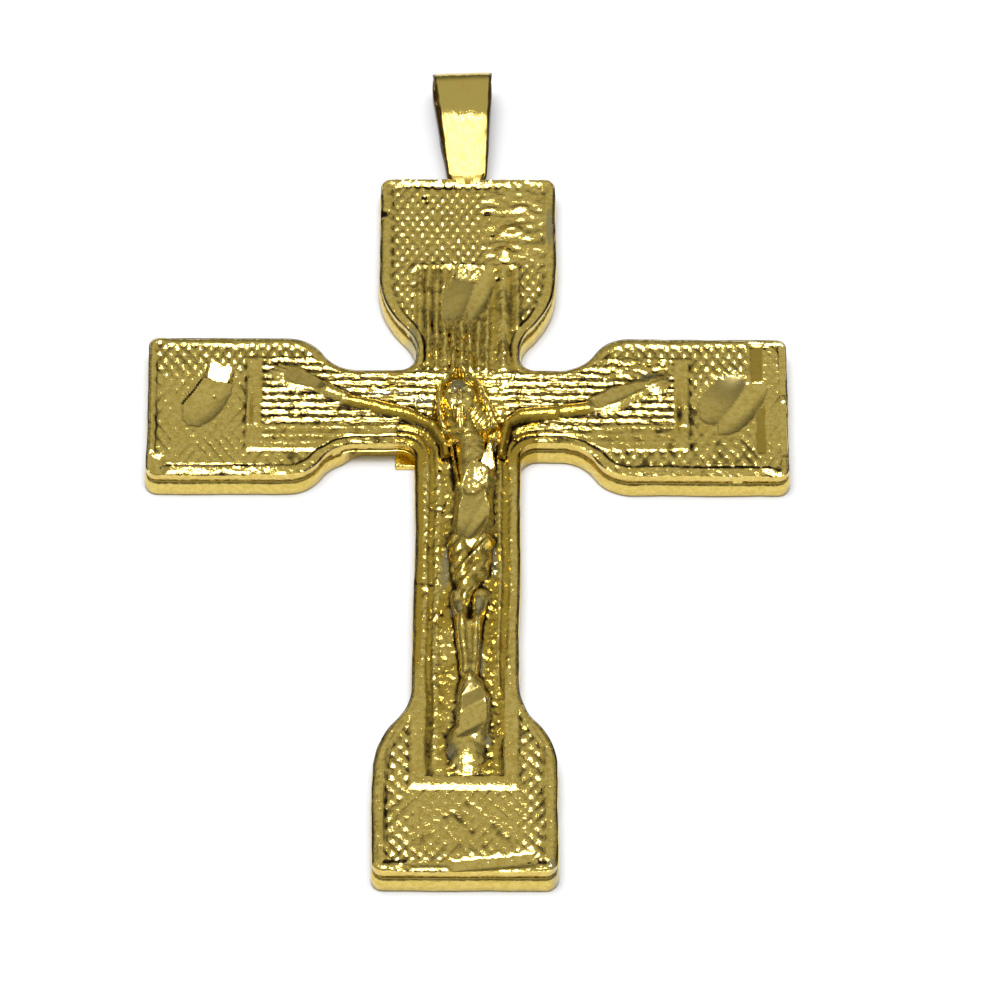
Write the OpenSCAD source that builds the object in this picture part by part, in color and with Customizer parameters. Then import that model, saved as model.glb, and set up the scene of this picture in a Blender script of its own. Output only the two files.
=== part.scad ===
// Crucifix pendant: a cast cross with four widened ends, a figure in relief and a hinged bail.
// It lies on its back: +Z is out of the face, +Y points to the bail, and the origin is on the
// back, where the middle lines of the stem and of the arms cross.

/* [Cross outline] */
// Distance from the crossing to the end of each arm
arm_reach = 15.7; // [14:0.1:18]
// Distance from the crossing to the top edge
top_reach = 14.6; // [13.5:0.1:17]
// Distance from the crossing to the bottom edge
foot_reach = 28.2; // [27:0.1:32]
// Width of the stem
stem_w = 5.1; // [4.6:0.1:5.8]
// Width of the arms
arm_w = 4.7; // [4.3:0.1:5.6]
// Width of the four widened ends
lobe_w = 8.7; // [7.8:0.1:9.6]
// Straight length of the left end
left_lobe_len = 6.85; // [6:0.05:8]
// Straight length of the right end
right_lobe_len = 7.7; // [6:0.05:8]
// Straight length of the top end
top_lobe_len = 6.8; // [5.5:0.1:7]
// Straight length of the bottom end
foot_lobe_len = 5.8; // [5.5:0.1:8]
// Length of the curved shoulders of the arms
side_shoulder = 3.5; // [2.6:0.1:3.9]
// Length of the curved shoulders of the top end
top_shoulder = 3.7; // [3:0.1:4]
// Length of the curved shoulders of the bottom end
foot_shoulder = 5; // [3:0.1:6]
// Radius of the outer corners
corner_r = 0.55; // [0.3:0.05:1]
// Radius in the four inner corners of the crossing
armpit_r = 0.8; // [0.4:0.1:1.2]

/* [Cross thickness] */
// Height of the side walls, up to the floor of the panels
plate_h = 1.5; // [1.4:0.05:2]
// Height of the bevelled border above the floor of the panels
border_h = 0.3; // [0.2:0.05:0.6]
// Width of the bevelled border
border_w = 0.7; // [0.5:0.05:1]
// Step in from the outline to the foot of the border
border_foot_in = 0.12; // [0.08:0.01:0.16]
// Step in from the outline to the crest of the border
border_crest_in = 0.26; // [0.2:0.01:0.3]
// Width of the slope on the inner side of the border
border_slope_w = 0.14; // [0.08:0.01:0.18]
// How far the lower half of the casting stands out beyond the upper half
lower_half_out = 0.1; // [0:0.02:0.2]
// Depth of the seam line round the side walls
seam_depth = 0.08; // [0.04:0.01:0.15]
// Height of the seam line's opening
seam_h = 0.1; // [0.05:0.01:0.2]
// Height of the seam line above the back
seam_z = 0.95; // [0.6:0.05:1.2]

/* [Ribbed inner cross] */
// Distance from the crossing to the ribbed cross's top edge
ribbed_top = 8.9; // [8:0.1:9.6]
// Distance from the crossing to the ribbed cross's bottom edge
ribbed_foot = 23.4; // [23.2:0.1:24.4]
// Distance from the crossing to the ribbed cross's ends on the arms
ribbed_side = 10.8; // [10.2:0.1:12]
// Width of the flat band that frames the ribs at its four ends
band_w = 0.75; // [0.5:0.05:1]
// Height of the ribbed cross above the floor of the panels
ribbed_h = 0.18; // [0.1:0.01:0.3]
// Distance from one rib to the next
rib_pitch = 0.45; // [0.4:0.05:0.6]
// Width of a rib
rib_w = 0.24; // [0.15:0.01:0.3]
// Height of a rib above the ground of the ribbed cross
rib_h = 0.1; // [0.05:0.01:0.15]

/* [Figure] */
// Height of the figure from the top of the head to the feet
figure_h = 24.6; // [24:0.1:25.4]
// Height of the top of the head above the middle line of the arms
figure_top = 1.9; // [1.6:0.1:2.2]
// Distance between the tips of the hands
figure_span = 18.8; // [17.6:0.1:20]
// Radius of the figure's head, which the other limbs are drawn to
head_r = 1; // [0.9:0.05:1.15]

/* [Bright cuts] */
// Radius of the cutting wheel's groove
cut_r = 0.7; // [0.5:0.05:1]
// Depth of a cut below the surface that it is made in
cut_depth = 0.16; // [0.1:0.02:0.2]
// Length of a cut
cut_len = 3; // [2.4:0.1:3.4]
// Width of the flat cuts on the border
flat_cut_w = 0.9; // [0.7:0.05:1.1]

/* [Bail] */
// Length from the hinge to the top of the loop
bail_len = 7.25; // [6:0.05:8]
// Width of the strip at the top of the loop
bail_top_w = 3.05; // [2.4:0.05:3.4]
// Width of the strip beside the cross
bail_low_w = 1.95; // [1.8:0.05:2.3]
// Thickness of the strip
bail_t = 0.3; // [0.25:0.01:0.4]
// Radius of the loop's bowed front and back
bail_bow_r = 10; // [8:0.5:16]
// Height of the loop at its top
bail_loop_h = 2.75; // [2.5:0.05:3.2]
// Turn of the bent loop to the left
bail_lean = 2.5; // [0:0.5:4]
// Length of the neck between the cross and the loop
neck_len = 0.55; // [0.4:0.05:0.7]
// Length over which the two layers of the strip stay pressed together past the neck
pressed_len = 0.6; // [0.4:0.05:0.8]
// Height of the lying loop above the surface
bail_lift = 0.05; // [0.03:0.01:0.1]

/* [Hinge] */
// Radius of the hinge bar
bar_r = 0.28; // [0.24:0.01:0.3]
// How far the bar runs into the cross at each end
bar_hold = 0.6; // [0.4:0.05:0.8]
// Gap between the bar and the barrel that turns on it
bar_clearance = 0.06; // [0.04:0.01:0.08]
// Width of the barrel
barrel_w = 1.4; // [1.2:0.05:1.6]
// Gap between the barrel and the slot all round
slot_clearance = 0.08; // [0.06:0.01:0.12]
// Depth of the bar's middle line below the top edge
bar_inset = 0.35; // [0.32:0.01:0.45]
// Height of the bar's middle line above the back
bar_z = 0.95; // [0.9:0.01:1]
// Radius of the curved notch in the border over the hinge
notch_r = 0.9; // [0.85:0.01:1.1]
// Depth of that notch
notch_depth = 0.6; // [0.55:0.01:0.65]

/* [Back tag] */
// Width and length of the plain tag on the back
tag_size = 1.5; // [1:0.1:2]
// Thickness of the tag
tag_t = 0.3; // [0.2:0.05:0.5]
// How far the tag reaches past the side of the stem
tag_side = 1; // [0.5:0.05:1.2]
// How far the tag reaches below the arm
tag_below = 0.45; // [0.3:0.05:0.6]

/* [Hidden] */
$fn = 48;

cast_gold = [0.78, 0.68, 0.36];
strip_gold = [0.83, 0.74, 0.42];
arc_steps = 6;
sink = 0.05;
least_r = 0.1;

stem_half = stem_w / 2;
arm_half = arm_w / 2;
lobe_half = lobe_w / 2;
face_z = plate_h + ribbed_h;
crest_z = plate_h + border_h;

bar_y = top_reach - bar_inset;
barrel_r = bar_r + bar_clearance + bail_t;
pocket_r = barrel_r + slot_clearance;
slot_w = barrel_w + 2 * slot_clearance;

// Points of an arc about a centre, from one angle to another.
function arc(centre, r, from, to) =
    [for (i = [0 : arc_steps]) let (a = from + (to - from) * i / arc_steps)
        centre + r * [cos(a), sin(a)]];

// Half of one end of the cross, from the inner corner of the crossing out to the middle of its
// end edge. The end points along +X, and the whole outline moves inwards by inset. The shoulder
// is an S of two equal arcs between the narrow part and the widened end.
function half_end(reach, lobe_len, shoulder, narrow, inset) =
    let (rise = lobe_half - narrow,
         s_r = (shoulder * shoulder + rise * rise) / (4 * rise),
         s_a = 2 * atan(rise / shoulder),
         lobe_start = reach - lobe_len,
         c_r = max(corner_r - inset, least_r))
    concat(
        arc([lobe_start - shoulder, narrow + s_r], s_r + inset, -90, -90 + s_a),
        arc([lobe_start, lobe_half - s_r], s_r - inset, 90 + s_a, 90),
        arc([reach - inset - c_r, lobe_half - inset - c_r], c_r, 90, 0));

function both_sides(half) =
    concat([for (p = half) [p.x, -p.y]], [for (i = [len(half) - 1 : -1 : 0]) half[i]]);
function turned(points, a) =
    [for (p = points) [p.x * cos(a) - p.y * sin(a), p.x * sin(a) + p.y * cos(a)]];

// The round inner corner between one end and the next. sx and sy say which corner it is.
function armpit(sx, sy, from, inset) =
    arc([sx * (stem_half + armpit_r), sy * (arm_half + armpit_r)], armpit_r + inset, from, from - 90);

function cross_outline(inset) = concat(
    both_sides(half_end(arm_reach, right_lobe_len, side_shoulder, arm_half, inset)),
    armpit(1, 1, 270, inset),
    turned(both_sides(half_end(top_reach, top_lobe_len, top_shoulder, stem_half, inset)), 90),
    armpit(-1, 1, 360, inset),
    turned(both_sides(half_end(arm_reach, left_lobe_len, side_shoulder, arm_half, inset)), 180),
    armpit(-1, -1, 90, inset),
    turned(both_sides(half_end(foot_reach, foot_lobe_len, foot_shoulder, stem_half, inset)), 270),
    armpit(1, -1, 180, inset));

module slab(inset, from, to) {
    translate([0, 0, from]) linear_extrude(to - from) polygon(cross_outline(inset));
}

// The bevelled border: two steps that stand round the whole face.
module border() {
    step_h = border_h / 2;
    difference() {
        union() {
            slab(border_foot_in, plate_h - sink, plate_h + step_h);
            slab(border_crest_in, plate_h, crest_z);
        }
        slab(border_w - border_slope_w, plate_h + step_h, crest_z + sink);
        slab(border_w, plate_h, crest_z + sink);
    }
}

// The straight cross that lies in the wider one, with flat bands at its ends and ribs between.
module ribbed_cross() {
    ground_h = face_z - rib_h;
    intersection() {
        slab(border_w - sink, plate_h - sink, crest_z);
        union() {
            box_between([-ribbed_side, -arm_half], [ribbed_side, arm_half], plate_h - sink, ground_h);
            box_between([-stem_half, -ribbed_foot], [stem_half, ribbed_top], plate_h - sink, ground_h);
            for (s = [-1, 1])
                box_between([s * ribbed_side, -arm_half], [s * (ribbed_side - band_w), arm_half],
                            ground_h - sink, face_z);
            box_between([-stem_half, ribbed_top - band_w], [stem_half, ribbed_top],
                        ground_h - sink, face_z);
            box_between([-stem_half, -ribbed_foot], [stem_half, band_w - ribbed_foot],
                        ground_h - sink, face_z);
            rib_n = floor((stem_half - border_w) / rib_pitch);
            for (i = [-rib_n : rib_n])
                translate([i * rib_pitch, 0])
                    box_between([-rib_w / 2, sink - ribbed_foot], [rib_w / 2, ribbed_top - sink],
                                ground_h - sink, face_z);
            for (i = [-rib_n : rib_n], s = [-1, 1])
                translate([0, i * rib_pitch])
                    box_between([s * stem_half, -rib_w / 2], [s * (ribbed_side - sink), rib_w / 2],
                                ground_h - sink, face_z);
        }
    }
}

module box_between(a, b, from, to) {
    translate([min(a.x, b.x), min(a.y, b.y), from])
        cube([abs(b.x - a.x), abs(b.y - a.y), to - from]);
}

// The figure is half sunk in the face. A row is a round joint of the body: its place as shares of
// the span from the middle and of the height below the top of the head, then its radius and its
// height over the floor of the panels, both as shares of the head's radius.
// Columns: x, y, radius, rise
JOINTS = [
    [-0.010, 0.062, 1.00,  0.22],    // 0 head
    [-0.016, 0.110, 0.70,  0.30],    // 1 jaw
    [-0.054, 0.040, 0.52,  0.10],    // 2 hair at the left temple
    [-0.066, 0.120, 0.38,  0.10],    // 3 hair on the left shoulder
    [ 0.034, 0.040, 0.52,  0.10],    // 4 hair at the right temple
    [ 0.042, 0.118, 0.38,  0.10],    // 5 hair on the right shoulder
    [ 0.002, 0.160, 0.62,  0.12],    // 6 neck
    [-0.075, 0.158, 0.56,  0.02],    // 7 left shoulder
    [ 0.086, 0.142, 0.56,  0.02],    // 8 right shoulder
    [ 0.008, 0.205, 1.20, -0.18],    // 9 chest
    [ 0.020, 0.330, 0.92, -0.06],    // 10 waist
    [ 0.020, 0.440, 1.14, -0.16],    // 11 hips
    [ 0.008, 0.545, 0.94, -0.06],    // 12 hem of the loincloth
    [-0.006, 0.600, 0.42,  0.16],    // 13 hanging point of the loincloth
    [-0.016, 0.580, 0.60,  0.06],    // 14 left thigh
    [ 0.036, 0.580, 0.60,  0.06],    // 15 right thigh
    [-0.004, 0.735, 0.54,  0.16],    // 16 left knee
    [ 0.026, 0.735, 0.54,  0.16],    // 17 right knee
    [ 0.008, 0.900, 0.48,  0.12],    // 18 ankles
    [ 0.012, 0.975, 0.60, -0.04],    // 19 feet
    [-0.218, 0.096, 0.45,  0.10],    // 20 left elbow
    [-0.390, 0.048, 0.38,  0.14],    // 21 left wrist
    [-0.480, 0.006, 0.36,  0.12],    // 22 left hand
    [ 0.238, 0.100, 0.45,  0.10],    // 23 right elbow
    [ 0.396, 0.062, 0.41,  0.14],    // 24 right wrist
    [ 0.482, 0.022, 0.36,  0.12]];   // 25 right hand

// Pairs of joints that a tapered round limb joins.
LIMBS = [[0, 1], [2, 3], [4, 5], [1, 6], [7, 6], [6, 8], [9, 10], [10, 11], [11, 12], [12, 13],
         [14, 16], [15, 17], [16, 18], [17, 18], [18, 19],
         [7, 20], [20, 21], [21, 22], [8, 23], [23, 24], [24, 25]];
limb_share = 0.95;

function joint_point(j) =
    [j[0] * figure_span, figure_top - j[1] * figure_h, plate_h + j[3] * head_r];

module limb(a, b) {
    start = joint_point(a);
    run = joint_point(b) - start;
    translate(start) rotate([0, acos(run.z / norm(run)), atan2(run.y, run.x)])
        cylinder(h = norm(run), r1 = a[2] * limb_share * head_r, r2 = b[2] * limb_share * head_r);
}

module figure() {
    for (j = JOINTS) translate(joint_point(j)) sphere(j[2] * head_r);
    for (pair = LIMBS) limb(JOINTS[pair[0]], JOINTS[pair[1]]);
}

// The bright cuts: pairs of grooves side by side that a turning wheel leaves.
// Columns: middle x, middle y, height of the surface, length, angle from +X
function bright_cuts() = [
    [0.43 * left_lobe_len - arm_reach, 0.16 * lobe_half, plate_h, cut_len, 62],
    [arm_reach - 0.34 * right_lobe_len, -0.05 * lobe_half, plate_h, cut_len, 62],
    [0, 0.74 * ribbed_top, face_z, 1.07 * cut_len, 60],
    [0.4 * head_r, figure_top - 0.31 * figure_h, face_z + 0.72 * head_r, 1.2 * cut_len, 68],
    [0.15 * head_r, figure_top - 0.885 * figure_h, face_z + 0.4 * head_r, 0.53 * cut_len, 62]];

module bright_cut(row) {
    groove_w = 2 * sqrt(cut_r * cut_r - (cut_r - cut_depth) * (cut_r - cut_depth));
    translate([row[0], row[1], row[2] + cut_r - cut_depth])
        rotate([0, 0, row[4]])
            for (s = [-1, 1])
                translate([0, s * groove_w * 0.45, 0])
                    rotate([0, 90, 0]) cylinder(h = row[3], r = cut_r, center = true);
}

// The flat cuts that take the bevel off at three places of the border.
// Columns: middle x, middle y, length, angle from +X
function flat_cuts() = [
    [0.28 * lobe_half, 0.39 * flat_cut_w - foot_reach, 0.92 * lobe_half, 10],
    [arm_reach - 0.61 * flat_cut_w, 0.51 * lobe_half, 0.6 * lobe_half, 90],
    [arm_reach - 0.61 * flat_cut_w, -0.3 * lobe_half, 0.74 * lobe_half, 90]];

module flat_cut(row) {
    translate([row[0], row[1], crest_z - border_h / 2])
        rotate([0, 0, row[3]])
            translate([-row[2] / 2, -flat_cut_w / 2, 0]) cube([row[2], flat_cut_w, border_h]);
}

// Where the bail's barrel sits: a round pocket that is open at the top edge, and the curved
// notch over it that lets the bail lift.
module hinge_slot() {
    translate([-slot_w / 2, bar_y, bar_z]) rotate([0, 90, 0]) cylinder(h = slot_w, r = pocket_r);
    box_between([-slot_w / 2, bar_y], [slot_w / 2, bar_y + 2 * pocket_r],
                bar_z - pocket_r, bar_z + pocket_r);
    translate([0, top_reach + notch_r - notch_depth, bar_z]) cylinder(h = crest_z, r = notch_r);
}

module hinge_bar() {
    bar_len = slot_w + 2 * bar_hold;
    translate([-bar_len / 2, bar_y, bar_z]) rotate([0, 90, 0]) cylinder(h = bar_len, r = bar_r);
}

module back_tag() {
    translate([tag_size / 2 - stem_half - tag_side, tag_size / 2 - arm_half - tag_below, 0])
        linear_extrude(tag_t) square(tag_size, center = true);
}

module cross() {
    color(cast_gold) {
        difference() {
            union() {
                slab(-lower_half_out, 0, seam_z);
                slab(seam_depth, seam_z - sink, seam_z + seam_h + sink);
                slab(0, seam_z + seam_h, plate_h);
                border();
                ribbed_cross();
                figure();
                back_tag();
            }
            for (row = bright_cuts()) bright_cut(row);
            for (row = flat_cuts()) flat_cut(row);
            hinge_slot();
        }
        hinge_bar();
    }
}

// Side view of the bail, along X and up Y: a barrel, a neck of two strips pressed together, and a
// loop whose bowed front and back run smoothly into its round top.
loop_r = bail_loop_h / 2;
loop_x = bail_len - loop_r;
neck_x = bar_inset + neck_len;
eye_x = neck_x + pressed_len;
neck = [neck_x, bail_t];

// Centre of the bowed front: its arc starts at the neck and runs into the top's circle.
bow_centre =
    let (gap = [loop_x, 0] - neck,
         along = (bail_bow_r * bail_bow_r - (bail_bow_r - loop_r) * (bail_bow_r - loop_r)
                  + gap * gap) / (2 * norm(gap)),
         across = sqrt(bail_bow_r * bail_bow_r - along * along),
         u = gap / norm(gap))
    neck + along * u + across * [u.y, -u.x];

// Half of the loop's outline, moved inwards by inset: the bowed front from start_x to the top,
// then a quarter of the round top.
function half_loop(inset, start_x) =
    let (r = bail_bow_r - inset,
         from = acos((start_x - bow_centre.x) / r),
         to = atan2(-bow_centre.y, loop_x - bow_centre.x))
    concat(arc(bow_centre, r, from, to), arc([loop_x, 0], loop_r - inset, to, 0));

module loop_profile() {
    difference() {
        union() {
            polygon(both_sides(half_loop(0, neck_x)));
            translate([0, -bail_t]) square([neck_x, 2 * bail_t]);
        }
        polygon(both_sides(half_loop(bail_t, eye_x)));
    }
}

// Front view of the strip, along X: the tongue that enters the slot, the shoulders and the taper.
module strip_outline() {
    corner = bail_t / 2;
    shoulder_x = neck_x - corner / 3;
    polygon([
        [0, -barrel_w / 2], [shoulder_x - corner * 2 / 3, -barrel_w / 2],
        [shoulder_x, corner - bail_low_w / 2], [shoulder_x + corner, -bail_low_w / 2],
        [bail_len, -bail_top_w / 2], [bail_len, bail_top_w / 2],
        [shoulder_x + corner, bail_low_w / 2], [shoulder_x, bail_low_w / 2 - corner],
        [shoulder_x - corner * 2 / 3, barrel_w / 2], [0, barrel_w / 2]]);
}

// The loop lies on the surface: from the bar it rises by this angle.
bail_rise = asin((loop_r + bail_lift - bar_z) / loop_x);

module bail() {
    color(strip_gold)
        translate([0, bar_y, bar_z])
            rotate([bail_rise, 0, 0])
                difference() {
                    union() {
                        rotate([0, 0, 90 + bail_lean]) intersection() {
                            translate([0, bail_top_w, 0]) rotate([90, 0, 0])
                                linear_extrude(2 * bail_top_w) loop_profile();
                            translate([0, 0, -bail_loop_h])
                                linear_extrude(2 * bail_loop_h) strip_outline();
                        }
                        rotate([0, 90, 0]) cylinder(h = barrel_w, r = barrel_r, center = true);
                    }
                    rotate([0, 90, 0])
                        cylinder(h = 2 * barrel_w, r = bar_r + bar_clearance, center = true);
                }
}

cross();
bail();
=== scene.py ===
from math import asin, cos, hypot, pi, radians, sin, sqrt, tan

import bmesh
import bpy
from mathutils import Matrix, Vector, noise


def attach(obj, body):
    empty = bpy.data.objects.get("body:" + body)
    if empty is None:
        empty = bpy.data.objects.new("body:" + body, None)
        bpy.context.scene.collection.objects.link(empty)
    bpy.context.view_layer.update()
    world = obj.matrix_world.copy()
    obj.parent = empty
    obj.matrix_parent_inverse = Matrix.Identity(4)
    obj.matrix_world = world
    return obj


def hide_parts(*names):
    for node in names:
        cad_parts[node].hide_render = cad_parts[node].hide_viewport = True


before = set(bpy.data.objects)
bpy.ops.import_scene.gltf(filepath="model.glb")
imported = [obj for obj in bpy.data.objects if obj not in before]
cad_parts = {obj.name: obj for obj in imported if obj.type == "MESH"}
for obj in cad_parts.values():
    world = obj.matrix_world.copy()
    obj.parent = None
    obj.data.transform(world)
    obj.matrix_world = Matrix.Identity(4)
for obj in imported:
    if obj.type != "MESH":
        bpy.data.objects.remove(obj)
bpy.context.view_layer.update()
scene = bpy.context.scene


# Camera
# The pendant lies on its back and is seen from above its foot through a long lens, so the face
# looks a little short and almost without perspective.
VIEW_ABOVE_TABLE = radians(51.679)
VIEW_TURN = radians(-0.646)
VIEW_ROLL = radians(0.691)
VIEW_DISTANCE = 0.451218
VIEW_SHIFT_RIGHT = 0.001631
VIEW_SHIFT_UP = -0.003625
SENSOR_WIDTH = 36
LENS = 330.36

level = cos(VIEW_ABOVE_TABLE)
backwards = Vector((sin(VIEW_TURN) * level, -cos(VIEW_TURN) * level,
                    sin(VIEW_ABOVE_TABLE)))
flat_right = Vector((cos(VIEW_TURN), sin(VIEW_TURN), 0.0))
flat_up = backwards.cross(flat_right)
camera_right = cos(VIEW_ROLL) * flat_right + sin(VIEW_ROLL) * flat_up
camera_up = cos(VIEW_ROLL) * flat_up - sin(VIEW_ROLL) * flat_right
eye = backwards * VIEW_DISTANCE + flat_right * VIEW_SHIFT_RIGHT + flat_up * VIEW_SHIFT_UP

lens = bpy.data.cameras.new("camera")
lens.sensor_width = SENSOR_WIDTH
lens.lens = LENS
lens.clip_start = 0.01
lens.clip_end = 20
camera = bpy.data.objects.new("camera", lens)
camera.matrix_world = Matrix((
    (camera_right.x, camera_up.x, backwards.x, eye.x),
    (camera_right.y, camera_up.y, backwards.y, eye.y),
    (camera_right.z, camera_up.z, backwards.z, eye.z),
    (0.0, 0.0, 0.0, 1.0)))
scene.collection.objects.link(camera)
scene.camera = camera
scene.view_settings.view_transform = "Standard"
scene.view_settings.look = "None"


# Table and light
# A white table under one large soft box, which hangs almost overhead and a little towards the
# foot, in a room that is darker low down than high up.
TABLE_SIZE = 3
TABLE_WHITE = (0.93, 0.92, 0.79, 1.0)
# Elevation of the room as the sine of its angle, and how bright it is there
ROOM_BANDS = [(0.0, 0.08), (0.18, 0.12), (0.42, 0.25), (0.62, 0.42), (0.78, 0.48), (1.0, 0.47)]
BOX_WIDTH = 0.3
BOX_DEPTH = 0.24
BOX_PLACE = Vector((-0.02, -0.03, 0.51))
BOX_RADIANCE = 10
BOX_TINT = (0.95, 0.99, 1.28)


class Shade:
    """Wraps a socket of a node tree, so that shader maths reads as Python expressions."""

    def __init__(self, tree, socket=None):
        self.tree = tree
        self.socket = socket

    def node(self, kind, settings=None, inputs=None, output=0):
        """Adds a shader node: its settings first, then the values or links of its sockets."""
        made = self.tree.nodes.new(kind)
        for name, value in (settings or {}).items():
            if name == "stops":
                ramp = made.color_ramp.elements
                while len(ramp) < len(value):
                    ramp.new(1.0)
                for stop, (at, colour) in zip(ramp, value):
                    stop.position = at
                    stop.color = colour
            else:
                setattr(made, name, value)
        for name, value in (inputs or {}).items():
            if isinstance(value, Shade):
                self.tree.links.new(value.socket, made.inputs[name])
            else:
                made.inputs[name].default_value = value
        return Shade(self.tree, made.outputs[output])

    def maths(self, operation, first, second):
        return self.node("ShaderNodeMath", {"operation": operation}, {0: first, 1: second})

    def __add__(self, other):
        return self.maths("ADD", self, other)

    def __sub__(self, other):
        return self.maths("SUBTRACT", self, other)

    def __rsub__(self, other):
        return self.maths("SUBTRACT", other, self)

    def __mul__(self, other):
        return self.maths("MULTIPLY", self, other)

    def ramp(self, start, end):
        """0 below start and 1 above end, with a soft rise between them."""
        return self.node("ShaderNodeMapRange", {"interpolation_type": "SMOOTHSTEP"},
                         {"Value": self, "From Min": start, "From Max": end})

    def between(self, low, high):
        """The colour low where this is 0, and high where it is 1."""
        return self.node("ShaderNodeMix", {"data_type": "RGBA"}, {0: self, 6: low, 7: high}, 2)

    def layer(self, name):
        """The value that a layer of the mesh holds."""
        return self.node("ShaderNodeAttribute", {"attribute_name": name}, None, 2)

    def finish(self, kind, surface):
        """Links a finished shader to the output node of its tree."""
        made = self.tree.nodes.new(kind)
        self.tree.links.new(surface.socket, made.inputs["Surface"])


def new_material(name):
    """An empty material with a Shade to draw its nodes with."""
    material = bpy.data.materials.new(name)
    material.use_nodes = True
    material.node_tree.nodes.clear()
    return material, Shade(material.node_tree)


def piece_from(name, bm, material):
    """Makes an object of a finished bmesh, at the origin, with its material."""
    mesh = bpy.data.meshes.new(name)
    bm.to_mesh(mesh)
    bm.free()
    mesh.materials.append(material)
    piece = bpy.data.objects.new(name, mesh)
    scene.collection.objects.link(piece)
    return piece


table_white, shade = new_material("table_white")
shade.finish("ShaderNodeOutputMaterial", shade.node(
    "ShaderNodeBsdfPrincipled", None, {"Base Color": TABLE_WHITE, "Roughness": 0.6,
                                       "Specular IOR Level": 0.2}))
table_bm = bmesh.new()
bmesh.ops.create_grid(table_bm, x_segments=1, y_segments=1, size=TABLE_SIZE / 2)
table = piece_from("table", table_bm, table_white)

room = bpy.data.worlds.new("room")
scene.world = room
room.use_nodes = True
room.node_tree.nodes.clear()
shade = Shade(room.node_tree)
direction = shade.node("ShaderNodeTexCoord")
height = shade.node("ShaderNodeSeparateXYZ", None, {"Vector": direction}, 2)
glow = height.node("ShaderNodeValToRGB", {
    "stops": [(at, (value, value, value, 1.0)) for at, value in ROOM_BANDS]}, {"Fac": height})
shade.finish("ShaderNodeOutputWorld", shade.node("ShaderNodeBackground", None, {"Color": glow}))

soft_box = bpy.data.lights.new("soft_box", "AREA")
soft_box.shape = "RECTANGLE"
soft_box.size = BOX_WIDTH
soft_box.size_y = BOX_DEPTH
soft_box.color = BOX_TINT
soft_box.energy = pi * BOX_WIDTH * BOX_DEPTH * BOX_RADIANCE
soft_box_object = bpy.data.objects.new("soft_box", soft_box)
soft_box_object.matrix_world = (Matrix.Translation(BOX_PLACE)
                                @ BOX_PLACE.to_track_quat("Z", "Y").to_matrix().to_4x4())
scene.collection.objects.link(soft_box_object)


# The casting's outline
# The body is one brass casting with four widened ends. Its outline is drawn here in millimetres:
# each end runs out from the crossing, opens in an S-shaped shoulder and stops square.
MM = 0.001
LOBE_HALF = 4.35
CORNER = 0.55
ARMPIT = 0.8
STEM_HALF = 2.55
ARM_HALF = 2.35
CROSSING_X = STEM_HALF + ARMPIT
CROSSING_Y = ARM_HALF + ARMPIT


class End:
    """One widened end, in its own measure: along from the crossing, and across from its middle."""

    def __init__(self, reach, lobe, shoulder, half, round_share):
        rise = LOBE_HALF - half
        radii = (shoulder ** 2 + rise ** 2) / (2 * rise)
        self.reach = reach
        self.half = half
        self.hollow_r = radii * (1.0 - round_share)
        self.swell_r = radii * round_share
        self.hollow = (reach - lobe - shoulder, half + self.hollow_r)
        self.swell = (reach - lobe, LOBE_HALF - self.swell_r)
        self.turn = self.hollow[0] + shoulder * (1.0 - round_share)

    def half_width(self, along):
        """Half the width of this end at a place along it."""
        if along >= self.swell[0]:
            return LOBE_HALF
        if along > self.turn:
            return self.swell[1] + sqrt(self.swell_r ** 2 - (self.swell[0] - along) ** 2)
        if along > self.hollow[0]:
            return self.hollow[1] - sqrt(self.hollow_r ** 2 - (along - self.hollow[0]) ** 2)
        return self.half

    def inset(self, along, across):
        """How far a point lies inside the edge of this end."""
        across = abs(across)
        past_end = along - (self.reach - CORNER)
        past_side = across - (LOBE_HALF - CORNER)
        if past_end > 0 and past_side > 0:
            return CORNER - hypot(past_end, past_side)
        if along >= self.swell[0]:
            return min(LOBE_HALF - across, self.reach - along)
        if along <= self.hollow[0]:
            return self.half - across
        run = self.swell[0] - self.hollow[0]
        drop = self.swell[1] - self.hollow[1]
        if run * (across - self.hollow[1]) < drop * (along - self.hollow[0]):
            return hypot(along - self.hollow[0], across - self.hollow[1]) - self.hollow_r
        return self.swell_r - hypot(along - self.swell[0], across - self.swell[1])


LEFT = End(15.7, 6.8, 3.5, ARM_HALF, 0.5)
RIGHT = End(15.7, 7.7, 3.5, ARM_HALF, 0.5)
TOP = End(14.6, 6.3, 4.7, STEM_HALF, 0.72)
FOOT = End(28.2, 6.2, 5, STEM_HALF, 0.55)


def end_at(x, y):
    """The end that a point lies in, and the point in the measure of that end."""
    if abs(y) > LOBE_HALF + 0.01 or (abs(x) <= CROSSING_X and abs(y) > CROSSING_Y):
        return TOP if y > 0 else FOOT, abs(y), x
    return RIGHT if x > 0 else LEFT, abs(x), y


def edge_distance(x, y):
    """How far a point of the face lies inside the outline."""
    if abs(x) <= CROSSING_X and abs(y) <= CROSSING_Y:
        return hypot(CROSSING_X - abs(x), CROSSING_Y - abs(y)) - ARMPIT
    end, along, across = end_at(x, y)
    return end.inset(along, across)


def ease(start, end, value):
    """0 before start and 1 past end, with a soft rise between them."""
    t = min(max((value - start) / (end - start), 0.0), 1.0)
    return t * t * (3 - 2 * t)


def blend(low, high, share):
    """The value low where the share is 0, and high where it is 1."""
    return low + (high - low) * share


def wander(x, y, size, seed):
    """A smooth chance value from -1 to 1 that changes over about that size."""
    return noise.noise(Vector((x / size, y / size, seed)))


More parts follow.
